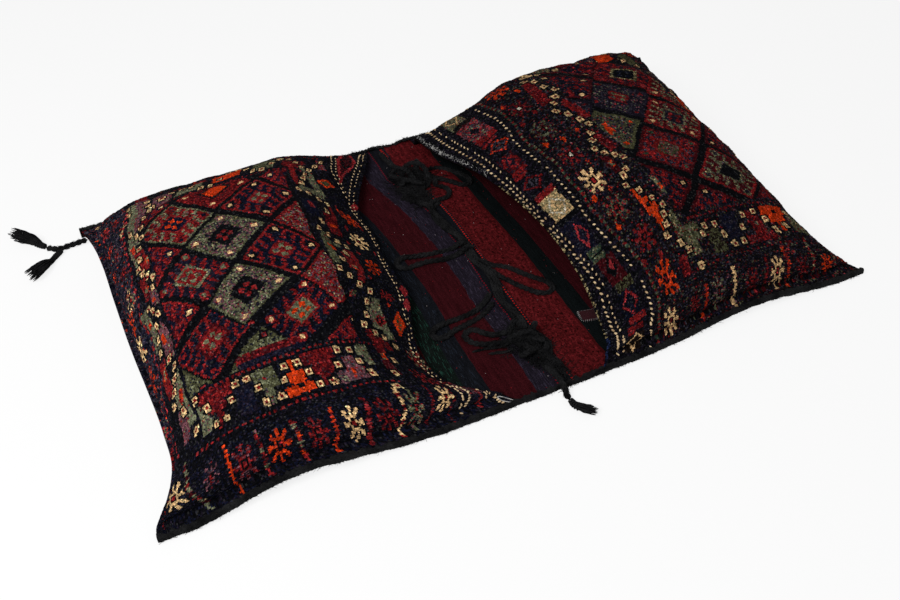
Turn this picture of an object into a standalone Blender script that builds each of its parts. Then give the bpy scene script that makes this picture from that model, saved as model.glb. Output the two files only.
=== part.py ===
"""Double saddle bag: two stuffed pouches with knotted-pile faces on one long striped kilim.

Metres, +Z up. +X runs from the left pouch to the right one, -Y is the near side, and the
kilim's underside lies on the floor at z = 0. The middle line of the bridge is at x = 0.
"""
import math

import bpy
import numpy as np

# Cloth
BAG_WIDTH = 0.62
KILIM_THICK = 0.0035
PILE_THICK = 0.007
SEAM_GAP = 0.0010
SEW_FLAT = 0.018          # flat margin of a face along each long side, under the binding
END_FLAT = 0.008          # flat margin of a face at its outer end

# Goat-hair binding on the long sides
BINDING_WALL = 0.0025
BINDING_LAP = 0.013
BINDING_GAP = 0.0007
BINDING_RAMP = 0.045      # run over which the kilim settles from the binding to the floor

# The pouches. Reach is from the middle line to the middle of the end seam, and heights are of
# the outer surface. A crown or lip row reads near side, middle, far side, and crown rows run
# from the mouth to the outer end. Pull and lift are how far the stuffing draws the near and
# the far long side in and up, and skew moves the middle of that draw towards the end. A mouth
# line holds (place across from -1 to 1, distance from x = 0), and an end line (place across,
# distance beyond the reach): it stands out at the corners as ears.
LEFT = {
    "name": "left_face",
    "side": -1,
    "reach": 0.510,
    "pull": (0.011, 0.010),
    "lift": (0.014, 0.012),
    "skew": 1.4,
    "crown": ((0.100, 0.106, 0.116), (0.122, 0.132, 0.137), (0.105, 0.118, 0.120)),
    "lip": (0.019, 0.026, 0.026),
    "lip_run": 0.130,
    "end_run": 0.085,
    "end_power": 2.3,
    "side_power": 2.5,
    "mouth": (
        (-1.0, 0.050), (-0.92, 0.078), (-0.80, 0.118), (-0.60, 0.142), (-0.40, 0.130),
        (-0.20, 0.109), (0.0, 0.116), (0.20, 0.112), (0.50, 0.105), (0.70, 0.074),
        (0.85, 0.048), (1.0, 0.031),
    ),
    "end": (
        (-1.0, 0.0335), (-0.95, 0.031), (-0.90, 0.023), (-0.80, 0.006), (-0.70, -0.005),
        (-0.50, -0.008), (-0.20, -0.004), (0.0, 0.0), (0.40, 0.004), (0.70, 0.006),
        (0.85, 0.010), (0.93, 0.015), (1.0, 0.024),
    ),
}
RIGHT = {
    "name": "right_face",
    "side": 1,
    "reach": 0.508,
    "pull": (0.008, 0.010),
    "lift": (0.010, 0.012),
    "skew": 1.3,
    "crown": ((0.110, 0.136, 0.140), (0.117, 0.144, 0.170), (0.096, 0.118, 0.142)),
    "lip": (0.032, 0.060, 0.046),
    "lip_run": 0.160,
    "end_run": 0.085,
    "end_power": 2.3,
    "side_power": 2.8,
    "mouth": (
        (-1.0, 0.078), (-0.92, 0.098), (-0.80, 0.111), (-0.60, 0.123), (-0.25, 0.123),
        (0.0, 0.112), (0.33, 0.092), (0.60, 0.068), (0.80, 0.056), (1.0, 0.050),
    ),
    "end": (
        (-1.0, 0.0355), (-0.93, 0.024), (-0.85, 0.013), (-0.70, 0.003), (-0.50, 0.0),
        (0.0, 0.0), (0.50, 0.0), (0.70, 0.002), (0.85, 0.007), (0.93, 0.015), (1.0, 0.029),
    ),
}
CROWN_ALONG = (0.15, 0.50, 0.85)
CROWN_ACROSS = (-0.60, 0.0, 0.60)
TIP_RISE = 0.038          # how far the far right corner stands up off the floor
TIP_START = 0.34          # distance from x = 0 where that lift begins
TIP_END = 0.538           # and where it is up
TIP_SIDE = 0.20           # share of the half width where it begins

# Grids
FACE_ALONG = 24
FACE_ACROSS = 26
KILIM_ALONG = 64

# Braids, as thick as one plait
BRAID = 0.008
CORD_SIDES = 2
CORD_STEP = 0.020

# Routes of the braids on the kilim, point by point
LEAD_ROUTE = (
    (-0.016, 0.288, 0.0150), (-0.013, 0.276, 0.0105), (-0.010, 0.262, 0.0085),
    (-0.007, 0.248, 0.0090), (-0.002, 0.234, 0.0120),
)
MIDDLE_ROUTE = (
    (0.038, 0.1640, 0.0100), (0.050, 0.1560, 0.0082), (0.053, 0.1440, 0.0080),
    (0.046, 0.1330, 0.0080), (0.030, 0.1280, 0.0080), (0.013, 0.1215, 0.0080),
    (0.004, 0.1060, 0.0080), (0.004, 0.0840, 0.0080), (0.009, 0.0600, 0.0080),
    (0.015, 0.0360, 0.0080), (0.018, 0.0120, 0.0080), (0.016, -0.0120, 0.0080),
    (0.017, -0.0360, 0.0080), (0.020, -0.0580, 0.0080), (0.022, -0.0800, 0.0080),
    (0.019, -0.1020, 0.0080), (0.013, -0.1230, 0.0080), (0.014, -0.1440, 0.0080),
    (0.017, -0.1650, 0.0080), (0.016, -0.1840, 0.0100), (0.013, -0.1960, 0.0125),
)
END_ROUTE = (
    (0.009, -0.2540, 0.0110), (0.010, -0.2660, 0.0098), (0.009, -0.2780, 0.0118),
    (0.010, -0.2880, 0.0149), (0.011, -0.2980, 0.0160), (0.012, -0.3080, 0.0156),
    (0.012, -0.3180, 0.0120), (0.011, -0.3260, 0.0075), (0.011, -0.3340, 0.0055),
)
FAR_LOOP_ROUTE = (
    (0.042, 0.2130, 0.0090), (0.054, 0.2140, 0.0080), (0.067, 0.2080, 0.0080),
    (0.080, 0.1930, 0.0080), (0.091, 0.1770, 0.0080), (0.098, 0.1600, 0.0080),
    (0.093, 0.1480, 0.0080), (0.081, 0.1490, 0.0080), (0.070, 0.1620, 0.0080),
    (0.059, 0.1750, 0.0080), (0.048, 0.1850, 0.0085), (0.041, 0.1900, 0.0090),
)
LEFT_LOOP_ROUTE = (
    (0.006, 0.0080, 0.0080), (-0.008, 0.0090, 0.0080), (-0.028, 0.0110, 0.0080),
    (-0.048, 0.0140, 0.0080), (-0.068, 0.0190, 0.0080), (-0.086, 0.0230, 0.0080),
    (-0.097, 0.0170, 0.0080), (-0.098, 0.0070, 0.0080), (-0.088, -0.0010, 0.0080),
    (-0.070, -0.0010, 0.0080), (-0.050, -0.0020, 0.0080), (-0.030, -0.0070, 0.0080),
    (-0.010, -0.0080, 0.0080), (0.005, -0.0080, 0.0080),
)
RIGHT_LOOP_ROUTE = (
    (0.033, -0.0520, 0.0080), (0.046, -0.0600, 0.0080), (0.059, -0.0730, 0.0080),
    (0.070, -0.0900, 0.0080), (0.082, -0.1060, 0.0080), (0.094, -0.1220, 0.0080),
    (0.096, -0.1360, 0.0080), (0.086, -0.1430, 0.0080), (0.073, -0.1380, 0.0080),
    (0.061, -0.1250, 0.0080), (0.050, -0.1080, 0.0080), (0.041, -0.0920, 0.0080),
    (0.033, -0.0790, 0.0080),
)
NEAR_LOOP_ROUTE = (
    (0.006, -0.1050, 0.0080), (-0.006, -0.1160, 0.0080), (-0.024, -0.1270, 0.0080),
    (-0.044, -0.1330, 0.0080), (-0.064, -0.1340, 0.0080), (-0.084, -0.1340, 0.0080),
    (-0.101, -0.1380, 0.0080), (-0.110, -0.1470, 0.0080), (-0.105, -0.1570, 0.0080),
    (-0.092, -0.1580, 0.0080), (-0.076, -0.1530, 0.0080), (-0.056, -0.1500, 0.0080),
    (-0.036, -0.1460, 0.0080), (-0.016, -0.1370, 0.0080), (0.001, -0.1250, 0.0080),
)
CURLED_LOOP_ROUTE = (
    (-0.016, -0.2080, 0.0100), (-0.028, -0.2030, 0.0080), (-0.042, -0.1990, 0.0080),
    (-0.056, -0.1920, 0.0080), (-0.066, -0.1810, 0.0080), (-0.068, -0.1690, 0.0080),
    (-0.059, -0.1620, 0.0080), (-0.048, -0.1660, 0.0080), (-0.040, -0.1760, 0.0080),
    (-0.029, -0.1850, 0.0080), (-0.017, -0.1880, 0.0085), (-0.009, -0.1900, 0.0095),
)
CORNER_ROUTE = (
    (-0.5260, 0.2830, 0.0082), (-0.5335, 0.2838, 0.0075), (-0.5440, 0.2850, 0.0058),
    (-0.5560, 0.2845, 0.0051), (-0.5660, 0.2835, 0.0050), (-0.5750, 0.2855, 0.0050),
    (-0.5830, 0.2905, 0.0050), (-0.5895, 0.2965, 0.0050),
)
CORNER_CORD = 0.009

# Knotted masses of braid, as centre and half sizes
FAR_KNOT = ((0.006, 0.200, 0.0165), (0.031, 0.033, 0.0125))
NEAR_KNOT = ((0.006, -0.226, 0.0160), (0.024, 0.0265, 0.0120))

# Tassels, as axis points with the radius at each
OUTER_TASSEL = (
    ((-0.5904, 0.2974, 0.0052), 0.0045), ((-0.5965, 0.3040, 0.0060), 0.0054),
    ((-0.6035, 0.3140, 0.0092), 0.0085), ((-0.6120, 0.3225, 0.0112), 0.0105),
    ((-0.6230, 0.3320, 0.0128), 0.0122), ((-0.6340, 0.3410, 0.0138), 0.0132),
)
INNER_TASSEL = (
    ((-0.5690, 0.2765, 0.0050), 0.0045), ((-0.5790, 0.2665, 0.0052), 0.0045),
    ((-0.5880, 0.2570, 0.0056), 0.0050), ((-0.5940, 0.2510, 0.0086), 0.0080),
    ((-0.6030, 0.2425, 0.0112), 0.0105), ((-0.6130, 0.2330, 0.0126), 0.0120),
    ((-0.6220, 0.2250, 0.0132), 0.0126),
)
NEAR_TASSEL = (
    ((0.0110, -0.3353, 0.0055), 0.0041), ((0.0118, -0.3440, 0.0057), 0.0050),
    ((0.0185, -0.3550, 0.0072), 0.0065), ((0.0265, -0.3640, 0.0082), 0.0075),
    ((0.0330, -0.3700, 0.0088), 0.0080),
)

# Small plain tab that peeps out under the right mouth
TAB_SIZE = (0.026, 0.022, 0.0016)
TAB_PLACE = (0.1150, -0.2080, 0.0)
TAB_TURN = math.radians(-12)
TAB_GAP = 0.0004


def smooth(knots, values, at):
    """Read a smooth curve through the values at the knots."""
    knots = np.asarray(knots, float)
    values = np.asarray(values, float)
    slopes = np.gradient(values, knots, axis=0)
    at = np.clip(np.asarray(at, float), knots[0], knots[-1])
    left = np.clip(np.searchsorted(knots, at, side="right") - 1, 0, len(knots) - 2)
    step = knots[left + 1] - knots[left]
    t = (at - knots[left]) / step
    if values.ndim > 1:
        step, t = step[:, None], t[:, None]
    start = (1 + 2 * t) * (1 - t) ** 2 * values[left] + t * (1 - t) ** 2 * step * slopes[left]
    stop = t**2 * (3 - 2 * t) * values[left + 1] + t**2 * (t - 1) * step * slopes[left + 1]
    return start + stop


def ease(t):
    """Go smoothly from 0 to 1 while t does."""
    t = np.clip(t, 0.0, 1.0)
    return t * t * (3 - 2 * t)


def quadratic(knots, values, at):
    """Read the parabola through three values."""
    total = 0.0
    for i, here in enumerate(knots):
        share = 1.0
        for j, other in enumerate(knots):
            if j != i:
                share = share * (at - other) / (here - other)
        total = total + share * values[i]
    return total


def spaced(across, up, count):
    """Points along a profile, a like distance of cloth apart."""
    run = np.concatenate([[0.0], np.cumsum(np.hypot(np.diff(across), np.diff(up)))])
    at = np.linspace(0.0, run[-1], count)
    return np.interp(at, run, across), np.interp(at, run, up)


def mouth_at(pouch, across):
    """Distance of the mouth from x = 0, for a place across from -1 to 1."""
    return smooth(*zip(*pouch["mouth"]), across)


def end_at(pouch, across):
    """Distance of the outer end from x = 0, for a place across from -1 to 1."""
    return pouch["reach"] + smooth(*zip(*pouch["end"]), across)


def drawn(x, side, which):
    """How far the stuffing moves a long side at x: near side below 0, far side above."""
    total = 0.0
    for pouch, here in ((LEFT, x < 0), (RIGHT, x >= 0)):
        start = mouth_at(pouch, 0.0)
        share = np.clip((np.abs(x) - start) / (pouch["reach"] - start), 0.0, 1.0)
        most = np.where(np.asarray(side) < 0, *pouch[which])
        total = total + here * most * np.sin(np.pi * share ** pouch["skew"]) ** 2
    return total


def half_width(x, side):
    """Distance of a long side from the centre line at x."""
    return BAG_WIDTH / 2 - drawn(x, side, "pull")


def rest_height(x, y):
    """Height of the kilim's underside: on the floor, up at the sides, up at the far corner."""
    inside = half_width(x, y) - np.abs(y)
    flat = BINDING_LAP + 0.004
    edge = BINDING_WALL + BINDING_GAP + drawn(x, y, "lift")
    side = edge * ease((flat + BINDING_RAMP - inside) / BINDING_RAMP)
    along = ease((x - TIP_START) / (TIP_END - TIP_START))
    over = ease((y / (BAG_WIDTH / 2) - TIP_SIDE) / (1 - TIP_SIDE))
    return side + TIP_RISE * along * over


def material(name, colour, roughness):
    made = bpy.data.materials.new(name)
    made.use_nodes = True
    shader = made.node_tree.nodes["Principled BSDF"]
    shader.inputs["Base Color"].default_value = (*colour, 1.0)
    shader.inputs["Roughness"].default_value = roughness
    return made


def keep(obj, finish):
    """Give an object its finish and smooth shading."""
    obj.data.materials.append(finish)
    if obj.type == "MESH":
        obj.data.shade_smooth()
        obj.data.set_sharp_from_angle(angle=math.radians(40))
    return obj


def sheet(name, columns, rows, place, thickness, grows, flip):
    """A grid whose points place() moves from the square -1 to 1, thickened into cloth."""
    bpy.ops.mesh.primitive_grid_add(x_subdivisions=columns, y_subdivisions=rows, size=2)
    obj = bpy.context.object
    obj.name = obj.data.name = name
    mesh = obj.data
    points = np.empty(len(mesh.vertices) * 3)
    mesh.vertices.foreach_get("co", points)
    points = points.reshape(-1, 3)
    column = np.rint((points[:, 0] + 1) / 2 * columns).astype(int)
    row = np.rint((points[:, 1] + 1) / 2 * rows).astype(int)
    mesh.vertices.foreach_set("co", place(column, row).ravel())
    if flip:
        mesh.flip_normals()
    mesh.update()
    wall = obj.modifiers.new("thickness", "SOLIDIFY")
    wall.thickness = thickness
    wall.offset = grows
    return obj


def make_face(pouch, finish):
    """One knotted-pile face, from its mouth over the crown to its end seam."""
    length = pouch["reach"] - float(mouth_at(pouch, 0.0))
    crown_height = float(np.mean(pouch["crown"]))
    fine = np.linspace(0.0, 1.0, 1500)
    wall = (length - END_FLAT) / length
    toward_end = np.clip(1 - (1 - fine) * wall * length / pouch["end_run"], 0.0, 1.0)
    drop = (1 - toward_end ** pouch["end_power"]) ** (1 / pouch["end_power"])
    along, fall = spaced(fine * wall * length, drop * crown_height, FACE_ALONG)
    along = np.append(along / length, 1.0)
    fall = np.append(fall / crown_height, 0.0)

    angle = np.linspace(-np.pi / 2, np.pi / 2, 1500)
    half = BAG_WIDTH / 2
    bulge = 2 / pouch["side_power"]
    over = np.sign(np.sin(angle)) * np.abs(np.sin(angle)) ** bulge * (half - SEW_FLAT)
    rise = np.abs(np.cos(angle)) ** bulge * crown_height
    across, arch = spaced(over, rise, FACE_ACROSS - 1)
    across = np.concatenate([[-1.0], across / half, [1.0]])
    arch = np.concatenate([[0.0], arch / crown_height, [0.0]])

    def place(column, row):
        p, v = along[column], across[row]
        start, stop = mouth_at(pouch, v), end_at(pouch, v)
        x = pouch["side"] * (start + (stop - start) * p)
        y = v * half_width(x, v)
        mid = np.clip(v, -0.85, 0.85)
        rows = [quadratic(CROWN_ACROSS, heights, mid) for heights in pouch["crown"]]
        crown = quadratic(CROWN_ALONG, rows, p)
        lip = quadratic(CROWN_ACROSS, pouch["lip"], np.clip(v, -0.7, 0.7))
        climb = np.sin(np.pi / 2 * np.clip(p * length / pouch["lip_run"], 0.0, 1.0))
        seam = rest_height(x, y) + KILIM_THICK + SEAM_GAP + PILE_THICK
        z = seam + (lip + (crown - lip) * climb - KILIM_THICK - PILE_THICK) * fall[column] * arch[row]
        return np.stack([x, y, z], axis=1)

    face = sheet(pouch["name"], FACE_ALONG, FACE_ACROSS, place, PILE_THICK, -1, pouch["side"] < 0)
    return keep(face, finish)


def make_kilim(finish):
    """The flat-woven cloth: both pouch backs and the bridge between them, in one length."""
    stations = np.linspace(-1.0, 1.0, KILIM_ALONG + 1)
    half = BAG_WIDTH / 2
    lap = 1 - SEW_FLAT / half
    ramp = lap - BINDING_RAMP / half
    across = np.concatenate([
        [-1.0, -lap, -(lap + ramp) / 2, -ramp], np.linspace(-ramp, ramp, 15)[1:-1],
        [ramp, (lap + ramp) / 2, lap, 1.0],
    ])

    def place(column, row):
        v = across[row]
        left, right = -end_at(LEFT, v), end_at(RIGHT, v)
        x = left + (right - left) * (stations[column] + 1) / 2
        y = v * half_width(x, v)
        return np.stack([x, y, rest_height(x, y)], axis=1)

    kilim = sheet("back_and_bridge", KILIM_ALONG, len(across) - 1, place, KILIM_THICK, 1, False)
    return keep(kilim, finish)


def make_binding(name, side, finish):
    """A wrapped edge: a C-shaped strip lofted round the cloth along one long side."""
    left = -float(end_at(LEFT, float(side)))
    right = float(end_at(RIGHT, float(side)))
    stations = np.linspace(left, right, KILIM_ALONG + 1)
    corners = (-float(mouth_at(LEFT, float(side))), float(mouth_at(RIGHT, float(side))))
    stack = np.maximum(
        ease((corners[0] + 0.034 - stations) / 0.026), ease((stations - corners[1] + 0.034) / 0.026)
    )
    cloth = KILIM_THICK + (SEAM_GAP + PILE_THICK) * stack
    wall, lap, gap = BINDING_WALL, BINDING_LAP, BINDING_GAP
    ring = (
        (lap, 1, gap), (lap, 1, gap + 0.7 * wall), (lap - wall, 1, gap + wall), (0.0, 1, gap + wall),
        (-gap - 0.8 * wall, 1, gap + 0.3 * wall), (-gap - wall, 0.5, 0.0),
        (-gap - 0.8 * wall, 0, -gap - 0.3 * wall), (0.0, 0, -gap - wall),
        (lap - wall, 0, -gap - wall), (lap, 0, -gap - 0.7 * wall), (lap, 0, -gap),
        (-gap, 0, -gap), (-gap, 1, gap),
    )
    points = []
    for inward, share, above in ring:
        y = side * (half_width(stations, side) - inward)
        on_cloth = side * (half_width(stations, side) - max(inward, 0.0))
        height = rest_height(stations, on_cloth) + share * cloth + above
        points.append(np.stack([stations, y, height], axis=1))
    points = np.stack(points, axis=1)
    sides = len(ring)
    faces = []
    for i in range(KILIM_ALONG):
        for j in range(sides):
            near, far = i * sides, (i + 1) * sides
            faces.append((near + j, near + (j + 1) % sides, far + (j + 1) % sides, far + j))
    faces.append(tuple(reversed(range(sides))))
    faces.append(tuple(KILIM_ALONG * sides + j for j in range(sides)))
    if side > 0:
        faces = [tuple(reversed(face)) for face in faces]
    mesh = bpy.data.meshes.new(name)
    mesh.from_pydata(points.reshape(-1, 3).tolist(), [], faces)
    obj = bpy.data.objects.new(name, mesh)
    bpy.context.collection.objects.link(obj)
    return keep(obj, finish)


def make_cord(name, route, diameter, finish, radii=None, step=CORD_STEP):
    """A round cord on a smooth curve through its route; radii may vary along it."""
    route = np.array(route)
    run = np.concatenate([[0.0], np.cumsum(np.linalg.norm(np.diff(route, axis=0), axis=1))])
    count = max(6, math.ceil(run[-1] / step) + 1)
    at = np.linspace(0.0, run[-1], count)
    points = smooth(run, route, at)
    curve = bpy.data.curves.new(name, "CURVE")
    curve.dimensions = "3D"
    curve.bevel_depth = 1.0 if radii else diameter / 2
    curve.bevel_resolution = CORD_SIDES
    curve.use_fill_caps = True
    spline = curve.splines.new("POLY")
    spline.points.add(count - 1)
    spline.points.foreach_set("co", np.column_stack([points, np.ones(count)]).ravel())
    if radii:
        spline.points.foreach_set("radius", smooth(run, radii, at))
    obj = bpy.data.objects.new(name, curve)
    bpy.context.collection.objects.link(obj)
    return keep(obj, finish)


def make_tassel(name, axis, finish):
    """A tassel: a bound neck that opens into a skirt."""
    route, radii = zip(*axis)
    return make_cord(name, route, None, finish, radii, CORD_STEP / 2)


def make_knot(name, place, lumps, finish):
    """A knotted mass of braid, as one lumpy solid."""
    centre, half_sizes = place
    bpy.ops.mesh.primitive_uv_sphere_add(segments=18, ring_count=9, radius=1.0)
    obj = bpy.context.object
    obj.name = obj.data.name = name
    for vertex in obj.data.vertices:
        spot = vertex.co.copy()
        turn = math.atan2(spot.y, spot.x)
        swell = 1 - 0.10 * (1 - spot.z**2) * (1 + math.sin(lumps * turn))
        for i in range(3):
            vertex.co[i] = centre[i] + half_sizes[i] * spot[i] * swell
    return keep(obj, finish)


def make_tab(finish):
    """A plain woven tab on the kilim, under the lip of the right mouth."""
    size = TAB_SIZE
    height = KILIM_THICK + TAB_GAP + size[2] / 2
    bpy.ops.mesh.primitive_cube_add(size=1, location=(TAB_PLACE[0], TAB_PLACE[1], height))
    obj = bpy.context.object
    obj.name = obj.data.name = "plain_tab"
    obj.scale = size
    obj.rotation_euler.z = TAB_TURN
    bpy.ops.object.transform_apply(location=False, rotation=False, scale=True)
    edge = obj.modifiers.new("soft edges", "BEVEL")
    edge.width = 0.0005
    edge.segments = 1
    return keep(obj, finish)


for old in list(bpy.data.objects):
    bpy.data.objects.remove(old)
collection = bpy.data.collections.new("double_saddle_bag")
bpy.context.scene.collection.children.link(collection)
bpy.context.view_layer.active_layer_collection = (
    bpy.context.view_layer.layer_collection.children[collection.name]
)

pile = material("knotted_pile", (0.055, 0.018, 0.020), 0.95)
flatweave = material("striped_kilim", (0.110, 0.012, 0.018), 0.90)
goat_hair = material("goat_hair", (0.012, 0.012, 0.012), 0.85)

make_kilim(flatweave)
make_face(LEFT, pile)
make_face(RIGHT, pile)
make_binding("near_side_binding", -1, goat_hair)
make_binding("far_side_binding", 1, goat_hair)

make_knot("far_knot", FAR_KNOT, 5, goat_hair)
make_knot("near_knot", NEAR_KNOT, 4, goat_hair)
make_cord("lead_braid", LEAD_ROUTE, BRAID, goat_hair)
make_cord("middle_braid", MIDDLE_ROUTE, BRAID, goat_hair)
make_cord("end_braid", END_ROUTE, BRAID, goat_hair, step=CORD_STEP / 2)
make_cord("far_loop", FAR_LOOP_ROUTE, BRAID, goat_hair, step=CORD_STEP / 2)
make_cord("left_loop", LEFT_LOOP_ROUTE, BRAID, goat_hair, step=CORD_STEP / 2)
make_cord("right_loop", RIGHT_LOOP_ROUTE, BRAID, goat_hair, step=CORD_STEP / 2)
make_cord("left_near_loop", NEAR_LOOP_ROUTE, BRAID, goat_hair, step=CORD_STEP / 2)
make_cord("curled_loop", CURLED_LOOP_ROUTE, BRAID, goat_hair, step=CORD_STEP / 2)
make_tassel("near_tassel", NEAR_TASSEL, goat_hair)

make_cord("corner_cord", CORNER_ROUTE, CORNER_CORD, goat_hair, step=CORD_STEP / 2)
make_tassel("outer_corner_tassel", OUTER_TASSEL, goat_hair)
make_tassel("inner_corner_tassel", INNER_TASSEL, goat_hair)

make_tab(flatweave)
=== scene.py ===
"""Looks of a double saddle bag: two stuffed pouches with knotted faces on one striped kilim.

Metres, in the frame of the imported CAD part. +X runs from the left pouch to the right one, -Y is
the near side and the floor is z = 0. Places on a face's cloth are in centimetres: a from its mouth
and b from its middle, up toward the far side. Lengths in a text are in millimetres.
"""

import math

import bpy
import numpy as np
from mathutils import Matrix, Vector


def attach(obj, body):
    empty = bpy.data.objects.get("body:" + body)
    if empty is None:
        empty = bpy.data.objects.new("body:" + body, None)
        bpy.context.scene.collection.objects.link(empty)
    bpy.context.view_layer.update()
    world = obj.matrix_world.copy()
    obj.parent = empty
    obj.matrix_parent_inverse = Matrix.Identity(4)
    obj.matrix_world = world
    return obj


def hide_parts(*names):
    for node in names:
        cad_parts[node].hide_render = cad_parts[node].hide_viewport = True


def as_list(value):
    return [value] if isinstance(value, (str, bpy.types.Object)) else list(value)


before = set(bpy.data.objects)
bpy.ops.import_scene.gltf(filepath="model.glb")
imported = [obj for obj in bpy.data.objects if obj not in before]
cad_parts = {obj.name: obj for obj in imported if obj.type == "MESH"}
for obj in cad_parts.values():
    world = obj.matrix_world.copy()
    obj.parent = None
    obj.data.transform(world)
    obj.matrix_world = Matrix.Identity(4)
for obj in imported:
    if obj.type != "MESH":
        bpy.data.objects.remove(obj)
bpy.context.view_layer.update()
bpy.ops.object.select_all(action="DESELECT")

# Camera
# It stands above the floor in front of the left pouch, and looks down and to the right across
# the bridge, as the photograph does.
camera_data = bpy.data.cameras.new("camera")
camera_data.lens = 37.08
camera_data.sensor_width = 36.0
camera = bpy.data.objects.new("camera", camera_data)
bpy.context.scene.collection.objects.link(camera)
pan, tilt, roll = math.radians(24.4), math.radians(45.2), math.radians(-0.81)
gaze = Vector((math.sin(pan) * math.cos(tilt), math.cos(pan) * math.cos(tilt), -math.sin(tilt)))
level = Vector((math.cos(pan), -math.sin(pan), 0.0))
upright = level.cross(gaze)
aside = math.cos(roll) * level + math.sin(roll) * upright
above = math.cos(roll) * upright - math.sin(roll) * level
camera.matrix_world = Matrix.Translation((-0.461, -0.986, 0.994)) @ Matrix(
    (aside, above, -gaze)
).transposed().to_4x4()
bpy.context.scene.camera = camera

# Striped kilim
# One long flat-woven wool cloth, weft-faced, that makes the backs of both pouches and the bridge
# between them. The stuffing draws its long sides in and lifts them, and the far right corner.
BAG_WIDTH = 0.62
KILIM_THICK = 0.0035
PILE_THICK = 0.007
SEAM_GAP = 0.0010
SEW_FLAT = 0.018
END_FLAT = 0.008
BINDING_WALL = 0.0025
BINDING_LAP = 0.013
BINDING_GAP = 0.0007
BINDING_RAMP = 0.045
LEFT = {
    "side": -1,
    "reach": 0.510,
    "pull": (0.011, 0.010),
    "lift": (0.014, 0.012),
    "skew": 1.4,
    "crown": ((0.100, 0.106, 0.116), (0.122, 0.132, 0.137), (0.105, 0.118, 0.120)),
    "lip": (0.019, 0.026, 0.026),
    "lip_run": 0.130,
    "end_run": 0.085,
    "end_power": 2.3,
    "side_power": 2.5,
    "mouth": (
        (-1.0, 0.050), (-0.92, 0.078), (-0.80, 0.118), (-0.60, 0.142), (-0.40, 0.130),
        (-0.20, 0.109), (0.0, 0.116), (0.20, 0.112), (0.50, 0.105), (0.70, 0.074),
        (0.85, 0.048), (1.0, 0.031),
    ),
    "end": (
        (-1.0, 0.0335), (-0.95, 0.031), (-0.90, 0.023), (-0.80, 0.006), (-0.70, -0.005),
        (-0.50, -0.008), (-0.20, -0.004), (0.0, 0.0), (0.40, 0.004), (0.70, 0.006),
        (0.85, 0.010), (0.93, 0.015), (1.0, 0.024),
    ),
}
RIGHT = {
    "side": 1,
    "reach": 0.508,
    "pull": (0.008, 0.010),
    "lift": (0.010, 0.012),
    "skew": 1.3,
    "crown": ((0.110, 0.136, 0.140), (0.117, 0.144, 0.170), (0.096, 0.118, 0.142)),
    "lip": (0.032, 0.060, 0.046),
    "lip_run": 0.160,
    "end_run": 0.085,
    "end_power": 2.3,
    "side_power": 2.8,
    "mouth": (
        (-1.0, 0.078), (-0.92, 0.098), (-0.80, 0.111), (-0.60, 0.123), (-0.25, 0.123),
        (0.0, 0.112), (0.33, 0.092), (0.60, 0.068), (0.80, 0.056), (1.0, 0.050),
    ),
    "end": (
        (-1.0, 0.0355), (-0.93, 0.024), (-0.85, 0.013), (-0.70, 0.003), (-0.50, 0.0),
        (0.0, 0.0), (0.50, 0.0), (0.70, 0.002), (0.85, 0.007), (0.93, 0.015), (1.0, 0.029),
    ),
}
TIP_RISE = 0.038
TIP_START = 0.34
TIP_END = 0.538
TIP_SIDE = 0.20
STRIPE_DYES = {
    "red": (54, 10, 12), "dark_red": (42, 9, 13), "navy": (14, 15, 19), "purple": (24, 20, 28),
    "black": (9, 12, 13), "moss": (11, 16, 14),
}
# Where each stripe starts, and its dye
STRIPES = (
    (-0.60, "dark_red"), (-0.52, "navy"), (-0.49, "dark_red"), (-0.41, "black"), (-0.38, "red"), (-0.32, "purple"),
    (-0.27, "dark_red"), (-0.21, "black"), (-0.19, "dark_red"), (-0.140, "moss"), (-0.108, "navy"),
    (-0.084, "dark_red"), (-0.027, "purple"), (0.0070, "navy"), (0.0304, "red"), (0.0950, "black"),
    (0.124, "dark_red"), (0.185, "purple"), (0.22, "red"), (0.27, "black"), (0.30, "dark_red"), (0.37, "navy"),
    (0.42, "red"), (0.48, "black"), (0.51, "dark_red"),
)


def smooth(knots, values, at):
    """Read a smooth curve through the values at the knots."""
    knots = np.asarray(knots, float)
    values = np.asarray(values, float)
    slopes = np.gradient(values, knots, axis=0)
    at = np.clip(np.asarray(at, float), knots[0], knots[-1])
    left = np.clip(np.searchsorted(knots, at, side="right") - 1, 0, len(knots) - 2)
    step = knots[left + 1] - knots[left]
    t = (at - knots[left]) / step
    if values.ndim > 1:
        step, t = step[:, None], t[:, None]
    start = (1 + 2 * t) * (1 - t) ** 2 * values[left] + t * (1 - t) ** 2 * step * slopes[left]
    stop = t**2 * (3 - 2 * t) * values[left + 1] + t**2 * (t - 1) * step * slopes[left + 1]
    return start + stop


def ease(t):
    """Go smoothly from 0 to 1 while t does."""
    t = np.clip(t, 0.0, 1.0)
    return t * t * (3 - 2 * t)


def mouth_at(pouch, across):
    """Distance of the mouth from x = 0, for a place across from -1 to 1."""
    return smooth(*zip(*pouch["mouth"]), across)


def end_at(pouch, across):
    """Distance of the outer end from x = 0, for a place across from -1 to 1."""
    return pouch["reach"] + smooth(*zip(*pouch["end"]), across)


def drawn(x, side, which):
    """How far the stuffing moves a long side at x: near side below 0, far side above."""
    total = 0.0
    for pouch, here in ((LEFT, x < 0), (RIGHT, x >= 0)):
        start = mouth_at(pouch, 0.0)
        share = np.clip((np.abs(x) - start) / (pouch["reach"] - start), 0.0, 1.0)
        most = np.where(np.asarray(side) < 0, *pouch[which])
        total = total + here * most * np.sin(np.pi * share ** pouch["skew"]) ** 2
    return total


def half_width(x, side):
    """Distance of a long side from the centre line at x."""
    return BAG_WIDTH / 2 - drawn(x, side, "pull")


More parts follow.
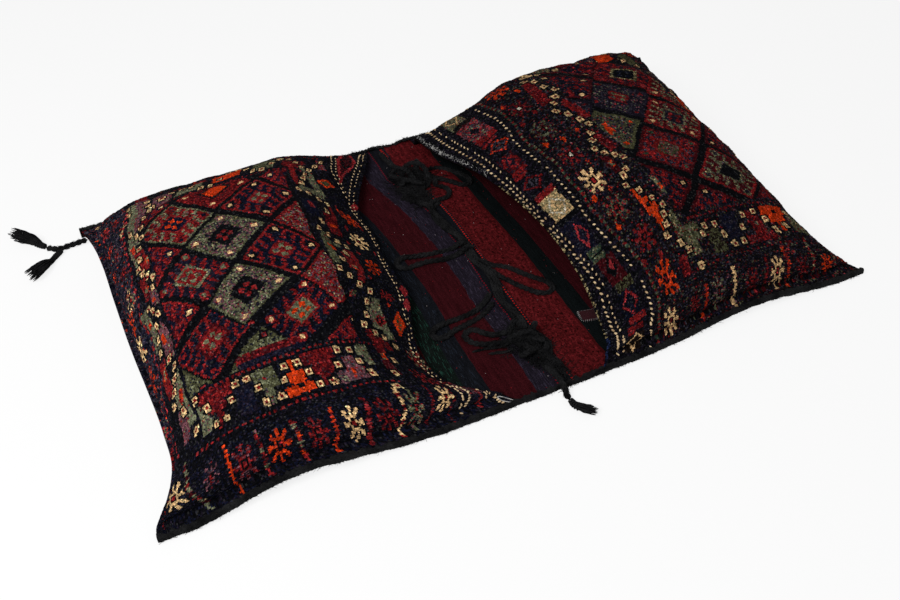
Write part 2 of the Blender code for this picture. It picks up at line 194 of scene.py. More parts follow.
def rest_height(x, y):
    """Height of the kilim's underside: on the floor, up at the sides, up at the far corner."""
    inside = half_width(x, y) - np.abs(y)
    flat = BINDING_LAP + 0.004
    edge = BINDING_WALL + BINDING_GAP + drawn(x, y, "lift")
    side = edge * ease((flat + BINDING_RAMP - inside) / BINDING_RAMP)
    along = ease((x - TIP_START) / (TIP_END - TIP_START))
    over = ease((y / (BAG_WIDTH / 2) - TIP_SIDE) / (1 - TIP_SIDE))
    return side + TIP_RISE * along * over


def ripples(u, v, size, seed):
    """Smooth hills and dips from -1 to 1, about size across, the same on every run."""
    draw = np.random.default_rng(seed)
    total = np.zeros(np.broadcast(u, v).shape)
    waves = 7
    for _ in range(waves):
        turn, phase = draw.uniform(0, 2 * np.pi, 2)
        pitch = size * draw.uniform(0.7, 1.5)
        total = total + np.sin((u * math.cos(turn) + v * math.sin(turn)) * 2 * np.pi / pitch + phase)
    return total / math.sqrt(waves * 2)


def lay_out(mesh, layer, place):
    """Give each corner of a mesh its point's place on the cloth or yarn."""
    corner = np.empty(len(mesh.loops), np.int32)
    mesh.loops.foreach_get("vertex_index", corner)
    mesh.uv_layers[layer].data.foreach_set("uv", place[corner].ravel())


def smooth_piece(name, points, faces, layer, place):
    """A piece from points and faces, with each point's place on its cloth or yarn."""
    mesh = bpy.data.meshes.new(name)
    mesh.from_pydata(points.tolist(), [], faces)
    mesh.polygons.foreach_set("use_smooth", np.ones(len(faces), bool))
    mesh.uv_layers.new(name=layer)
    lay_out(mesh, layer, place)
    piece = bpy.data.objects.new(name, mesh)
    bpy.context.scene.collection.objects.link(piece)
    return piece


def finished(piece, finish, replaced=None):
    """Give a piece its finish in a material slot, hang it on the root, and hide the solid that it stands for."""
    piece.data.materials.append(finish)
    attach(piece, "root")
    if replaced:
        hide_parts(replaced)


def woven_sheet(name, outer, inner, flip):
    """A closed sheet: a fine outer grid, a coarse inner one, and a rim that joins their edges."""
    n, m = outer.shape[0] - 1, outer.shape[1] - 1
    p, q = inner.shape[0] - 1, inner.shape[1] - 1
    step = n // p
    top = np.arange((n + 1) * (m + 1)).reshape(n + 1, m + 1)
    low = np.arange((p + 1) * (q + 1)).reshape(p + 1, q + 1) + top.size
    faces = np.stack([top[:-1, :-1], top[1:, :-1], top[1:, 1:], top[:-1, 1:]], -1).reshape(-1, 4)
    under = np.stack([low[:-1, :-1], low[:-1, 1:], low[1:, 1:], low[1:, :-1]], -1).reshape(-1, 4)
    faces = faces.tolist() + under.tolist()
    edge_top = np.concatenate([top[:-1, 0], top[-1, :-1], top[:0:-1, -1], top[0, :0:-1]])
    edge_low = np.concatenate([low[:-1, 0], low[-1, :-1], low[:0:-1, -1], low[0, :0:-1]])
    for k in range(len(edge_low)):
        run = edge_top[k * step:(k + 1) * step].tolist() + [int(edge_top[(k + 1) * step % len(edge_top)])]
        faces.append(run[::-1] + [int(edge_low[k]), int(edge_low[(k + 1) % len(edge_low)])])
    if flip:
        faces = [face[::-1] for face in faces]
    rows = np.repeat(np.arange(n + 1), m + 1) / n, np.repeat(np.arange(p + 1), q + 1) / p
    columns = np.tile(np.arange(m + 1), n + 1) / m, np.tile(np.arange(q + 1), p + 1) / q
    place = np.stack([np.concatenate(rows), np.concatenate(columns)], -1)
    return smooth_piece(name, np.concatenate([outer.reshape(-1, 3), inner.reshape(-1, 3)]), faces, "cloth", place)


def link(material, start, stop):
    """Join (node, output) to (node, input)."""
    tree = material.node_tree
    tree.links.new(start[0].outputs[start[1]], stop[0].inputs[stop[1]])


def node(material, kind, **inputs):
    """Add a node and set its inputs by name."""
    made = material.node_tree.nodes.new(kind)
    for name, value in inputs.items():
        made.inputs[name.replace("_", " ")].default_value = value
    return made


def dyed(red, green, blue):
    """A colour as it is seen, from 0 to 255, made linear."""
    return tuple(((c / 255 + 0.055) / 1.055) ** 2.4 for c in (red, green, blue)) + (1.0,)


def wool(name, roughness, sheen):
    """An empty wool finish: its shader, and the point on the piece."""
    made = bpy.data.materials.new(name)
    made.use_nodes = True
    shader = made.node_tree.nodes["Principled BSDF"]
    shader.inputs["Roughness"].default_value = roughness
    shader.inputs["Specular IOR Level"].default_value = 0.02
    shader.inputs["Sheen Weight"].default_value = sheen
    shader.inputs["Sheen Roughness"].default_value = 0.45
    return made, shader, node(made, "ShaderNodeTexCoord")


def textured(material, kind, places, **inputs):
    """Add a texture node, or a mapping, that reads these places."""
    made = node(material, kind, **inputs)
    link(material, places, (made, "Vector"))
    return made


def graded(material, value, low, high):
    """Colours from low to high along a value, each (position, dye)."""
    ramp = node(material, "ShaderNodeValToRGB")
    for stop, (at, dye) in zip(ramp.color_ramp.elements, (low, high)):
        stop.position, stop.color = at, dye
    link(material, value, (ramp, "Fac"))
    return ramp, "Color"


def roughen(material, shader, height, strength, distance):
    """Send a height to the shader as bump."""
    bump = node(material, "ShaderNodeBump", Strength=strength, Distance=distance)
    link(material, height, (bump, "Height"))
    link(material, (bump, "Normal"), (shader, "Normal"))


def varied(material, colour, places, scale, dark, light):
    """Multiply a colour by noise between dark and light, and return the output."""
    noise = textured(material, "ShaderNodeTexNoise", places, Scale=scale, Detail=3.0, Roughness=0.6)
    span = node(material, "ShaderNodeMapRange", From_Min=0.3, From_Max=0.7, To_Min=dark, To_Max=light)
    link(material, (noise, "Fac"), (span, "Value"))
    times = node(material, "ShaderNodeVectorMath")
    times.operation = "SCALE"
    link(material, colour, (times, "Vector"))
    link(material, (span, "Result"), (times, "Scale"))
    return times, "Vector"


def only(material, value, centre, half):
    """1 where a value lies within half of centre, else 0."""
    near = node(material, "ShaderNodeMath")
    near.operation = "COMPARE"
    link(material, value, (near, 0))
    near.inputs[1].default_value, near.inputs[2].default_value = centre, half
    return near, "Value"


def over(material, below, above, share):
    """Lay one colour over another where share is 1."""
    mixed = node(material, "ShaderNodeMix")
    mixed.data_type = "RGBA"
    link(material, share, (mixed, 0))
    link(material, below, (mixed, 6))
    if isinstance(above[0], float):
        mixed.inputs[7].default_value = above
    else:
        link(material, above, (mixed, 7))
    return mixed, 2


def of_both(material, first, second, operation="MULTIPLY"):
    """Two values put together by one sum."""
    made = node(material, "ShaderNodeMath")
    made.operation = operation
    for slot, value in enumerate((first, second)):
        if isinstance(value, float):
            made.inputs[slot].default_value = value
        else:
            link(material, value, (made, slot))
    return made, "Value"


def stripe_place(x):
    """A stripe's place along the colour ramp, which runs from x = -0.6 to 0.6."""
    return (x + 0.6) / 1.2


def striped_finish():
    """Weft-faced stripes across the cloth, ribbed along its length, with abrash and flecks."""
    finish, shader, spot = wool("striped_kilim", 0.95, 0.0)
    on_piece = spot, "Object"
    apart = node(finish, "ShaderNodeSeparateXYZ")
    link(finish, (spot, "UV"), (apart, "Vector"))
    along = apart, "X"
    ramp = node(finish, "ShaderNodeValToRGB")
    ramp.color_ramp.interpolation = "CONSTANT"
    stops = ramp.color_ramp.elements
    while len(stops) < len(STRIPES):
        stops.new(0.5)
    for stop, (x, name) in zip(stops, STRIPES):
        stop.position, stop.color = stripe_place(x), dyed(*STRIPE_DYES[name])
    link(finish, along, (ramp, "Fac"))
    colour = ramp, "Color"

    # Two dotted lines, float threads of other wool, flecks, and the coarser red stripe
    pitch = of_both(finish, of_both(finish, (apart, "Y"), 190.0), 0.0, "FRACT")
    for x, dye in ((0.0090, dyed(92, 12, 24)), (0.0300, dyed(150, 26, 20))):
        line = only(finish, along, stripe_place(x), 0.0009)
        colour = over(finish, colour, dye, of_both(finish, line, only(finish, pitch, 0.5, 0.24)))
    streaks = textured(finish, "ShaderNodeMapping", (spot, "UV"), Scale=(820.0, 62.0, 1.0))
    threads = textured(finish, "ShaderNodeTexNoise", (streaks, "Vector"), Scale=1.0, Detail=2.0)
    loose = of_both(finish, (threads, "Fac"), 0.60, "GREATER_THAN")
    for x, half, dye in (
        (-0.124, 0.015, dyed(23, 48, 40)), (-0.010, 0.015, dyed(41, 36, 48)), (-0.096, 0.010, dyed(24, 28, 36)),
    ):
        share = of_both(finish, loose, only(finish, along, stripe_place(x), half / 1.2))
        colour = over(finish, colour, dye, share)
    for scale, size, dye in ((60.0, 0.036, dyed(140, 132, 132)), (95.0, 0.055, dyed(120, 22, 26))):
        flecks = textured(finish, "ShaderNodeTexVoronoi", on_piece, Scale=scale)
        colour = over(finish, colour, dye, of_both(finish, (flecks, "Distance"), size, "LESS_THAN"))
    stretch = textured(finish, "ShaderNodeMapping", on_piece, Scale=(1.0, 0.12, 1.0))
    colour = varied(finish, colour, (stretch, "Vector"), 260.0, 0.65, 1.40)
    colour = varied(finish, colour, on_piece, 620.0, 0.45, 1.75)
    grains = textured(finish, "ShaderNodeTexVoronoi", on_piece, Scale=330.0)
    pale = varied(finish, colour, (grains, "Color"), 6.0, 0.22, 2.6)
    colour = over(finish, colour, pale, only(finish, along, stripe_place(0.063), 0.0320 / 1.2))
    link(finish, colour, (shader, "Base Color"))
    ribs = textured(
        finish, "ShaderNodeTexWave", on_piece, Scale=90.0, Distortion=1.6, Detail=2.0, Detail_Scale=2.0
    )
    ribs.bands_direction = "Y"
    roughen(finish, shader, (ribs, "Fac"), 0.5, 0.0012)
    return finish


def kilim_points(columns, rows, above):
    """The kilim's surface as a grid, above its underside, with soft creases on the bridge."""
    v = np.linspace(-1.0, 1.0, rows + 1)[None, :]
    share = np.linspace(0.0, 1.0, columns + 1)[:, None]
    left, right = -end_at(LEFT, v), end_at(RIGHT, v)
    x = left + (right - left) * share
    y = v * half_width(x, v)
    creases = ripples(x, y, 0.09, 11) * 0.0016 + ripples(x, y * 0.35, 0.035, 12) * 0.0005
    open_cloth = ease((0.12 - np.abs(x - 0.02)) / 0.06) * ease((0.30 - np.abs(y)) / 0.05)
    z = rest_height(x, y) + above + (creases + 0.0020) * open_cloth
    return np.stack([x, y, z], -1)


kilim = woven_sheet("woven_back_and_bridge", kilim_points(208, 124, KILIM_THICK), kilim_points(52, 31, 0.0), False)
# The stripes bow to the left toward the far side, where the far knot draws the cloth in
spots = np.empty(len(kilim.data.vertices) * 3)
kilim.data.vertices.foreach_get("co", spots)
x, y = spots[0::3], spots[1::3]
bow = 0.027 * np.clip((y + 0.02) / 0.20, 0.0, 1.2) ** 2 * np.clip((0.06 - x) / 0.07, 0.0, 1.0) * ease((x + 0.25) / 0.1)
black_bow = np.interp(
    y, (-0.20, -0.10, 0.0, 0.08, 0.146, 0.2255, 0.31), (0.0, 0.0026, 0.0053, 0.0088, 0.0135, 0.027, 0.024)
)
bow += black_bow * (np.clip((x - 0.035) / 0.03, 0.0, 1.0) * np.clip((0.22 - x) / 0.08, 0.0, 1.0))
stripe = x + bow + 0.0022 * ripples(x, y, 0.16, 13) + 0.0006 * ripples(x, y, 0.02, 14)
lay_out(kilim.data, "cloth", np.stack([stripe_place(stripe), y], -1))
finished(kilim, striped_finish(), "back_and_bridge")

# Faces of the pouches
# Each is a panel of wool knotted on a flat warp, about 2.3 mm a knot, with a flat-woven band at
# its mouth. It is folded over the stuffing, sewn to the kilim's end and bound along both sides.
KNOT = 0.00225
# The lining side has one face for this many knots each way
COARSE = 4
# From the middle of the cloth to its bound edge, in centimetres
HALF_CLOTH = 36.4
CREST = 0.22
REFERENCE = 0.125
CROWN_ALONG = (0.15, 0.50, 0.85)
CROWN_ACROSS = (-0.60, 0.0, 0.60)
DYES = {
    "black": (9, 9, 12), "navy": (12, 14, 28), "purple": (23, 19, 29), "grey": (46, 43, 52),
    "red": (102, 21, 22), "madder": (56, 11, 16), "orange": (168, 46, 14), "sage": (86, 88, 67),
    "olive": (60, 60, 40), "mauve": (88, 54, 60), "rose": (132, 38, 42), "cream": (194, 158, 112),
    "white": (176, 168, 150), "brown": (24, 17, 14), "sand": (134, 120, 86), "green": (38, 54, 42),
    "blue": (30, 40, 72),
}
DYE_NUMBER = {name: number for number, name in enumerate(DYES)}


def quadratic(knots, values, at):
    """Read the parabola through three values."""
    total = 0.0
    for i, here in enumerate(knots):
        share = 1.0
        for j, other in enumerate(knots):
            if j != i:
                share = share * (at - other) / (here - other)
        total = total + share * values[i]
    return total


def spaced(across, up, count):
    """Points along a profile, a like distance of cloth apart."""
    run = np.concatenate([[0.0], np.cumsum(np.hypot(np.diff(across), np.diff(up)))])
    at = np.linspace(0.0, run[-1], count)
    return np.interp(at, run, across), np.interp(at, run, up)


def pile_surface(pouch, p, fall, v, arch):
    """Points of a face's outer surface, for shares of its length and width."""
    length = pouch["reach"] - float(mouth_at(pouch, 0.0))
    start, stop = mouth_at(pouch, v), end_at(pouch, v)
    x = pouch["side"] * (start + (stop - start) * p)
    y = v * half_width(x, v)
    mid = np.clip(v, -0.85, 0.85)
    crown = quadratic(CROWN_ALONG, [quadratic(CROWN_ACROSS, row, mid) for row in pouch["crown"]], p)
    lip = quadratic(CROWN_ACROSS, pouch["lip"], np.clip(v, -0.7, 0.7))
    climb = np.sin(np.pi / 2 * np.clip(p * length / pouch["lip_run"], 0.0, 1.0))
    seam = rest_height(x, y) + KILIM_THICK + SEAM_GAP + PILE_THICK
    z = seam + (lip + (crown - lip) * climb - KILIM_THICK - PILE_THICK) * fall * arch
    return np.stack([x, y, z], -1)


def knotted_grid(pouch, multiple):
    """A face's surface, a knot apart, and each point's place on the cloth from mouth and middle."""
    length = pouch["reach"] - float(mouth_at(pouch, 0.0))
    fine = np.linspace(0.0, 1.0, 1500)
    wall = (length - END_FLAT) / length
    toward_end = np.clip(1 - (1 - fine) * wall * length / pouch["end_run"], 0.0, 1.0)
    drop = (1 - toward_end ** pouch["end_power"]) ** (1 / pouch["end_power"])
    angle = np.linspace(-np.pi / 2, np.pi / 2, 1500)
    half = BAG_WIDTH / 2
    bulge = 2 / pouch["side_power"]
    over = np.sign(np.sin(angle)) * np.abs(np.sin(angle)) ** bulge * (half - SEW_FLAT)
    rise = np.abs(np.cos(angle)) ** bulge
    run = np.concatenate([[0.0], np.cumsum(np.hypot(np.diff(over), np.diff(rise) * REFERENCE))])
    run -= run[-1] / 2
    b_known = np.concatenate([[run[0] - SEW_FLAT], run, [run[-1] + SEW_FLAT]])
    rows = multiple * round((b_known[-1] - b_known[0]) / KNOT / multiple)
    b = np.linspace(b_known[0], b_known[-1], rows + 1)
    v = np.interp(b, b_known, np.concatenate([[-1.0], over / half, [1.0]]))
    arch = np.interp(b, b_known, np.concatenate([[0.0], rise, [0.0]]))
    p_known, fall_known = spaced(fine * wall * length, drop * REFERENCE, 399)
    p_known = np.append(p_known / length, 1.0)
    fall_known = np.append(fall_known / REFERENCE, 0.0)
    rough = pile_surface(pouch, p_known[:, None], fall_known[:, None], v[None, :], arch[None, :])
    run = np.cumsum(np.linalg.norm(np.diff(rough, axis=0), axis=2), axis=0)
    run = np.concatenate([np.zeros((1, rows + 1)), run])
    far, near = np.searchsorted(b, CREST) - 1, np.searchsorted(b, -CREST)
    run[:, far:] = run[:, far:far + 1]
    run[:, :near] = run[:, near:near + 1]
    columns = multiple * round(float(np.median(run[-1])) / KNOT / multiple)
    at = np.linspace(0.0, 1.0, columns + 1)[:, None] * run[-1]
    p, fall = np.empty(at.shape), np.empty(at.shape)
    for j in range(rows + 1):
        p[:, j] = np.interp(at[:, j], run[:, j], p_known)
        fall[:, j] = np.interp(at[:, j], run[:, j], fall_known)
    points = pile_surface(pouch, p, fall, np.broadcast_to(v, p.shape), np.broadcast_to(arch, p.shape))
    return points, at * 100, np.broadcast_to(b, p.shape) * 100


def unit(vectors):
    """The same directions, one long."""
    return vectors / np.linalg.norm(vectors, axis=-1, keepdims=True)


def outward(points, side):
    """The way each point of a surface grid faces."""
    return unit(np.cross(np.gradient(points, axis=0), np.gradient(points, axis=1)) * side)


def of_cells(grid):
    """A grid's values in the middle of its cells."""
    return 0.25 * (grid[1:, 1:] + grid[:-1, 1:] + grid[1:, :-1] + grid[:-1, :-1])


def motifs(text, lengths):
    """Rows of a pattern: words, then numbers. The first numbers are lengths, given back in centimetres."""
    for row in text.replace("\n", ";").split(";"):
        words = [word for word in row.split() if word[0].isalpha()]
        numbers = [float(word) for word in row.split()[len(words):]]
        if numbers:
            yield " ".join(words), *(round(number / 10, 6) for number in numbers[:lengths]), *numbers[lengths:]


def measures(text, per=1000):
    """Rows of lengths with commas between, given back in metres, or with 10 for one in centimetres."""
    return [tuple(round(float(number) / per, 6) for number in row.split()) for row in text.split(",")]


class Chart:
    """The knots of one face: each one's place on the cloth, in centimetres, and its dye."""

    def __init__(self, a, b, seed):
        self.draw = np.random.default_rng(seed)
        self.a = a + 0.16 * ripples(a, b, 7.0, seed + 1) + 0.06 * ripples(a, b, 1.6, seed + 2)
        self.b = b + 0.14 * ripples(a, b, 6.0, seed + 3) + 0.05 * ripples(a, b, 1.5, seed + 4)
        self.a += 0.035 * self.draw.standard_normal(a.shape)
        self.b += 0.035 * self.draw.standard_normal(a.shape)
        self.luck = 0.62 * self.draw.random(a.shape) + 0.38 * (0.5 + 0.5 * ripples(a, b, 1.3, seed + 5))
        self.dye = np.zeros(a.shape, int)
        self.field = np.ones(a.shape, bool)
        self.ring = 0.90

    def put(self, where, *dyes):
        """Knot these places, in one dye or in several mixed by chance."""
        spread = np.clip((self.luck[where] - 0.25) * 2.0, 0.0, 0.999) * len(dyes)
        self.dye[where] = np.array([DYE_NUMBER[dye] for dye in dyes])[spread.astype(int)]

    def blocks(self, rows):
        """Plain blocks, each: dyes, from a, to a, from b, to b, lean."""
        for dyes, a0, a1, b0, b1, *lean in motifs(rows, 4):
            shift = (lean[0] if lean else 0.0) * (self.b - (b0 + b1) / 2)
            inside = (self.a - shift > a0) & (self.a - shift < a1) & (self.b > b0) & (self.b < b1)
            self.put(inside, *dyes.split())

    def lozenges(self, rows):
        """Diamonds, each: dyes, a, b, half length, half width, hollow share."""
        for dyes, a, b, length, width, *hollow in motifs(rows, 4):
            far = np.abs(self.a - a) / length + np.abs(self.b - b) / width
            self.put((far < 1) & (far >= (hollow[0] if hollow else 0.0)), *dyes.split())

    def stars(self, rows):
        """Eight-armed stars with a dark ring and a red heart, each: dyes, a, b, half length and width, lean."""
        for dyes, a, b, length, width, *leans in motifs(rows, 4):
            tilt = leans[0] if leans else 0.0
            u = (self.a - a - tilt * (self.b - b)) / length
            v = (self.b - b) / width
            turn = np.arctan2(v, u) * 4 / np.pi
            reach = np.maximum(np.abs(u), np.abs(v))
            arm = np.abs(turn - np.round(turn))
            slanted = np.round(turn).astype(int) % 2 == 1
            petals = (arm < 0.31 - 0.06 / np.maximum(reach, 0.2)) & (reach > 0.26)
            petals &= reach < np.where(slanted, 0.82, 1.0)
            petals |= (reach > 0.30) & (reach < 0.46)
            self.put(reach < 0.34, "black")
            self.put(petals, *dyes.split())
            self.put(reach < 0.15, "red")

    def bars(self, rows):
        """Slim serrated bars down the cloth, each: dyes in turn, a, b, half width, lean, tooth size."""
        for dyes, a, b, width, lean, *size in motifs(rows, 3):
            u = np.abs(self.a - a - lean * (self.b - b))
            tooth = np.abs((self.b / 0.9) % 1.0 - 0.5)
            inside = (u < 0.08 + (size[0] if size else 0.5) * tooth) & (np.abs(self.b - b) < width)
            turns = [DYE_NUMBER[dye] for dye in dyes.split()]
            self.dye[inside] = np.array(turns)[(self.b[inside] / 0.9).astype(int) % len(turns)]

    def dice(self, rows, long=0.52):
        """Cream squares with a red pip, framed in black, each: a, b."""
        for _, a, b in motifs(rows, 2):
            u, v = np.abs(self.a - a), np.abs(self.b - b)
            self.put((u < 0.64) & (v < long + 0.18), "black")
            self.put((u < 0.41) & (v < long - 0.06), "cream", "cream", "cream", "sand")
            self.put((u < 0.19) & (v < 0.22), "red")

    def strays(self, where, share, *dyes):
        """Stray knots of other dyes in small clumps."""
        chance = self.draw.random(self.a.shape) + 0.35 * ripples(self.a, self.b, 1.1, 91)
        self.put(where & (chance < share), *dyes)

    def beads(self, b_at, a_at, pitch, size, *dyes):
        """A line of dashes across the cloth, along the places given."""
        inside = (np.abs(self.a - np.interp(self.b, b_at, a_at)) < size) & ((self.b / pitch) % 1.0 < 0.56)
        self.put(inside & (self.b > b_at[0]) & (self.b < b_at[-1]), *dyes)

    def long_beads(self, b, a_from, a_to, pitch, *dyes):
        """A line of dots along the cloth."""
        inside = (np.abs(self.b - b) < 0.17) & (self.a > a_from) & (self.a < a_to)
        self.put(inside & ((self.a / pitch) % 1.0 < 0.5), *dyes)

    def cells(self, rows):
        """Lattice diamonds of the field, each: kind, a, b."""
        def knot(where, dyes):
            self.put(self.field & where, *dyes.split())

        def off_middle(u, v, u_out, v_out):
            return np.minimum(np.maximum(np.abs(u - u_out), v), np.maximum(u, np.abs(v - v_out)))

        for kind, a, b in motifs(rows, 2):
            ring, ground, hook, heart, square, spot, frame_dye = CELL_KINDS[kind]
            u, v = np.abs(self.a - a), np.abs(self.b - b)
            along, across = u / CELL_LENGTH, v / CELL_WIDTH
            far = along + across
            knot(far < 0.975, "black")
            knot(far < self.ring, ring)
            knot(far < 0.825, ground)
            for slip, stem_from, stem_to, tip_from, tip_to, tip_start, tip_stop in HOOK_ROWS if hook else ():
                tooth = ((along - across) * 4.5 / 1.62 + slip) % 1.0
                comb = (np.abs(tooth - 0.5) < 0.15) & (far > stem_from) & (far < stem_to)
                comb |= (tooth > tip_start) & (tooth < tip_stop) & (far > tip_from) & (far < tip_to)
                knot(comb, hook)
            if heart:
                middle = u / 2.30 + v / 2.30
                knot(middle < 1.16, frame_dye)
                knot(middle < 0.90, heart)
            if square:
                knot(off_middle(u, v, 0.85, 0.85) < 0.37, square)
            if spot:
                edge, middle = spot.split()
                near = off_middle(u, v, 4.30, 4.20)
                knot(near < 0.62, edge)
                knot(near < 0.33, middle)

    def colours(self, fade_and_shade):
        """Each knot's colour: its dye, uneven along the weft, times a dimming that is partly faded wool and partly
        painted shade, with paler knots by chance that are partly pale tips and partly painted glints.
        """
        table = np.array([dyed(*DYES[name])[:3] for name in DYES])
        shade = 0.95 * np.exp(0.42 * self.draw.standard_normal(self.a.shape))
        shade *= 1 + 0.10 * ripples(self.a * 2.2, self.b * 0.25, 5.0, 71)
        shade *= 1 + 0.08 * ripples(self.a, self.b, 9.0, 72)
        colour = table[self.dye] * shade[..., None] * fade_and_shade
        # Paler knots by chance: partly pale wool tips, partly painted glints of light on the pile
        pale = self.draw.random(self.a.shape) < 0.07
        colour[pale] = colour[pale] * 1.1 + 0.016
        return np.clip(colour, 0.0, 1.0)


# Half a diamond's length and width in the lattice, in centimetres
CELL_LENGTH = 6.45
CELL_WIDTH = 6.20
# The outer and the inner row of hooks: slip along the row, stem from and to, tip from and to, tip's ends
HOOK_ROWS = ((0.5, 0.62, 0.85, 0.575, 0.655, 0.35, 0.88), (0.1, 0.38, 0.50, 0.455, 0.53, 0.12, 0.65))
# Kinds of diamond: ring, ground, hooks, heart, its squares, corner spots (edge, middle), heart's frame
CELL_KINDS = {
    "sage_hooks": ("sage olive sage", "red madder red", "sage", "navy", "orange", "red navy", "red"),
    "navy_hooks": ("red", "navy black navy", "red", "red", "sage", "black cream", "navy"),
    "mottled": ("sage olive", "sage mauve olive mauve sage purple", "", "black", "red", "mauve cream", "black"),
    "purple_hooks": ("black", "purple navy purple", "red", "red", "sage", "red sage", "sage"),
    "red_squares": ("red", "purple navy black navy", "red", "red", "sage", "navy red", "madder"),
    "dark_hooks": ("navy black", "navy black navy", "red madder red", "sage", "orange", "red cream", "red"),
    "mouth_half": ("red", "mauve madder red sage red", "", "", "", "", ""),
    "orange_half": ("red", "red madder", "", "orange", "", "red cream", "black"),
    "near_half": ("olive", "sage olive navy olive", "", "", "", "black red", ""),
    "red_navy": ("red", "navy red madder navy", "red", "navy", "red", "navy cream", "madder"),
    "grey_mottled": ("purple", "purple grey mauve purple", "", "red", "sage", "purple red", "purple"),
    "red_blue": ("madder", "red navy purple red grey", "red", "olive mauve", "", "red green", "red"),
    "red_h": ("red madder", "red purple navy madder purple", "red", "black", "navy", "red rose", "olive sand"),
    "red_sage": ("red", "madder red madder", "sage", "purple", "red", "red cream", "sage"),
    "star_sage": ("red", "madder", "sage", "black", "", "sage purple", "sage"),
    "olive_mottled": ("olive", "olive purple grey olive navy sage", "", "", "", "olive orange", ""),
    "dark_red": ("madder", "navy purple black red purple", "red", "", "", "black cream", ""),
}


def field_between(chart, b_at, mouth_side, end_side, b_from, b_to):
    """Mark where the field of diamonds lies, and return its edge toward the mouth."""
    start, stop = np.interp(chart.b, b_at, mouth_side), np.interp(chart.b, b_at, end_side)
    chart.field = (chart.a > start) & (chart.a < stop) & (chart.b > b_from) & (chart.b < b_to)
    return start


# Rows of stitches at the mouths: b places and a places, pitch in centimetres, half length, lean and
# share worn away
LEFT_CHAINS = (
    ("-295 -250 -210 -170 -140 -90 -50 -10 40 100 160 220 300 360, 29 21 14 12 9 20 24 14 9 9 19 21 17 13",
     0.86, 0.0021, 0.5, 0.1),
    ("-240 -210 -170 -140 -90 -50 -10 40 100 160 220 300 360, 8 7 5 4 13 17 7 4 4 10 12 9 6",
     0.86, 0.0017, -0.5, 0.3),
    ("-356 -329 -293 -265, 66 56 40 26",
     0.95, 0.0024, 0.3, 0.05),
    ("-346 -331 -310 -293 -270, 54 48 37 29 19",
     0.95, 0.0022, -0.3, 0.05),
    ("-335 -305 -284, 22 11 5",
     0.95, 0.0022, 0.3, 0.12),
    ("-324 -310 -296, 13 8 4",
     0.95, 0.0019, -0.3, 0.25),
    ("-363 -354 -346, 15 12 9",
     0.36, 0.003, 1.2, 0.0),
    ("164 180 198 216 270 354, 26 36 50 63 73 77",
     0.9, 0.0022, 0.5, 0.08),
    ("176 198 216 270 354, 28 42 54 65 69",
     0.9, 0.002, -0.5, 0.12),
)
BAND_LINE = (
    "-370 -340 -320 -290 -260 -230 -205 -176 -159 -136 -100 -84 -60 -25 0 24 50 85 110 130 158 180 220 280 "
    "370, 78 78 75 80 84 83 79 72.5 67.5 64 60 60 64 66 69 72 71 73 77.5 89 97.5 103 105 109 112"
)
RIGHT_CHAINS = (
    ("-360 -320 -290 -270 -230 -200 -165 -140 -105 -50 0 45 95 120 160 200 270 360, 21 20 19 15 14 19 15 12.5 "
     "8 5 6 9.5 11.5 16 19.5 22 25 27",
     0.98, 0.0029, 0.5, 0.03),
    ("-360 -320 -297 -270 -240 -203 -170 -132 -109 -80 -43 -10 47 100 150 210 300 360, 31 30 27.5 24 23.5 28 "
     "24 18 15.5 12.5 11 11 17 24 30 34 37.5 38",
     0.98, 0.0024, -0.5, 0.12),
    (BAND_LINE, 1.0, 0.0027, 0.6, 0.06),
)


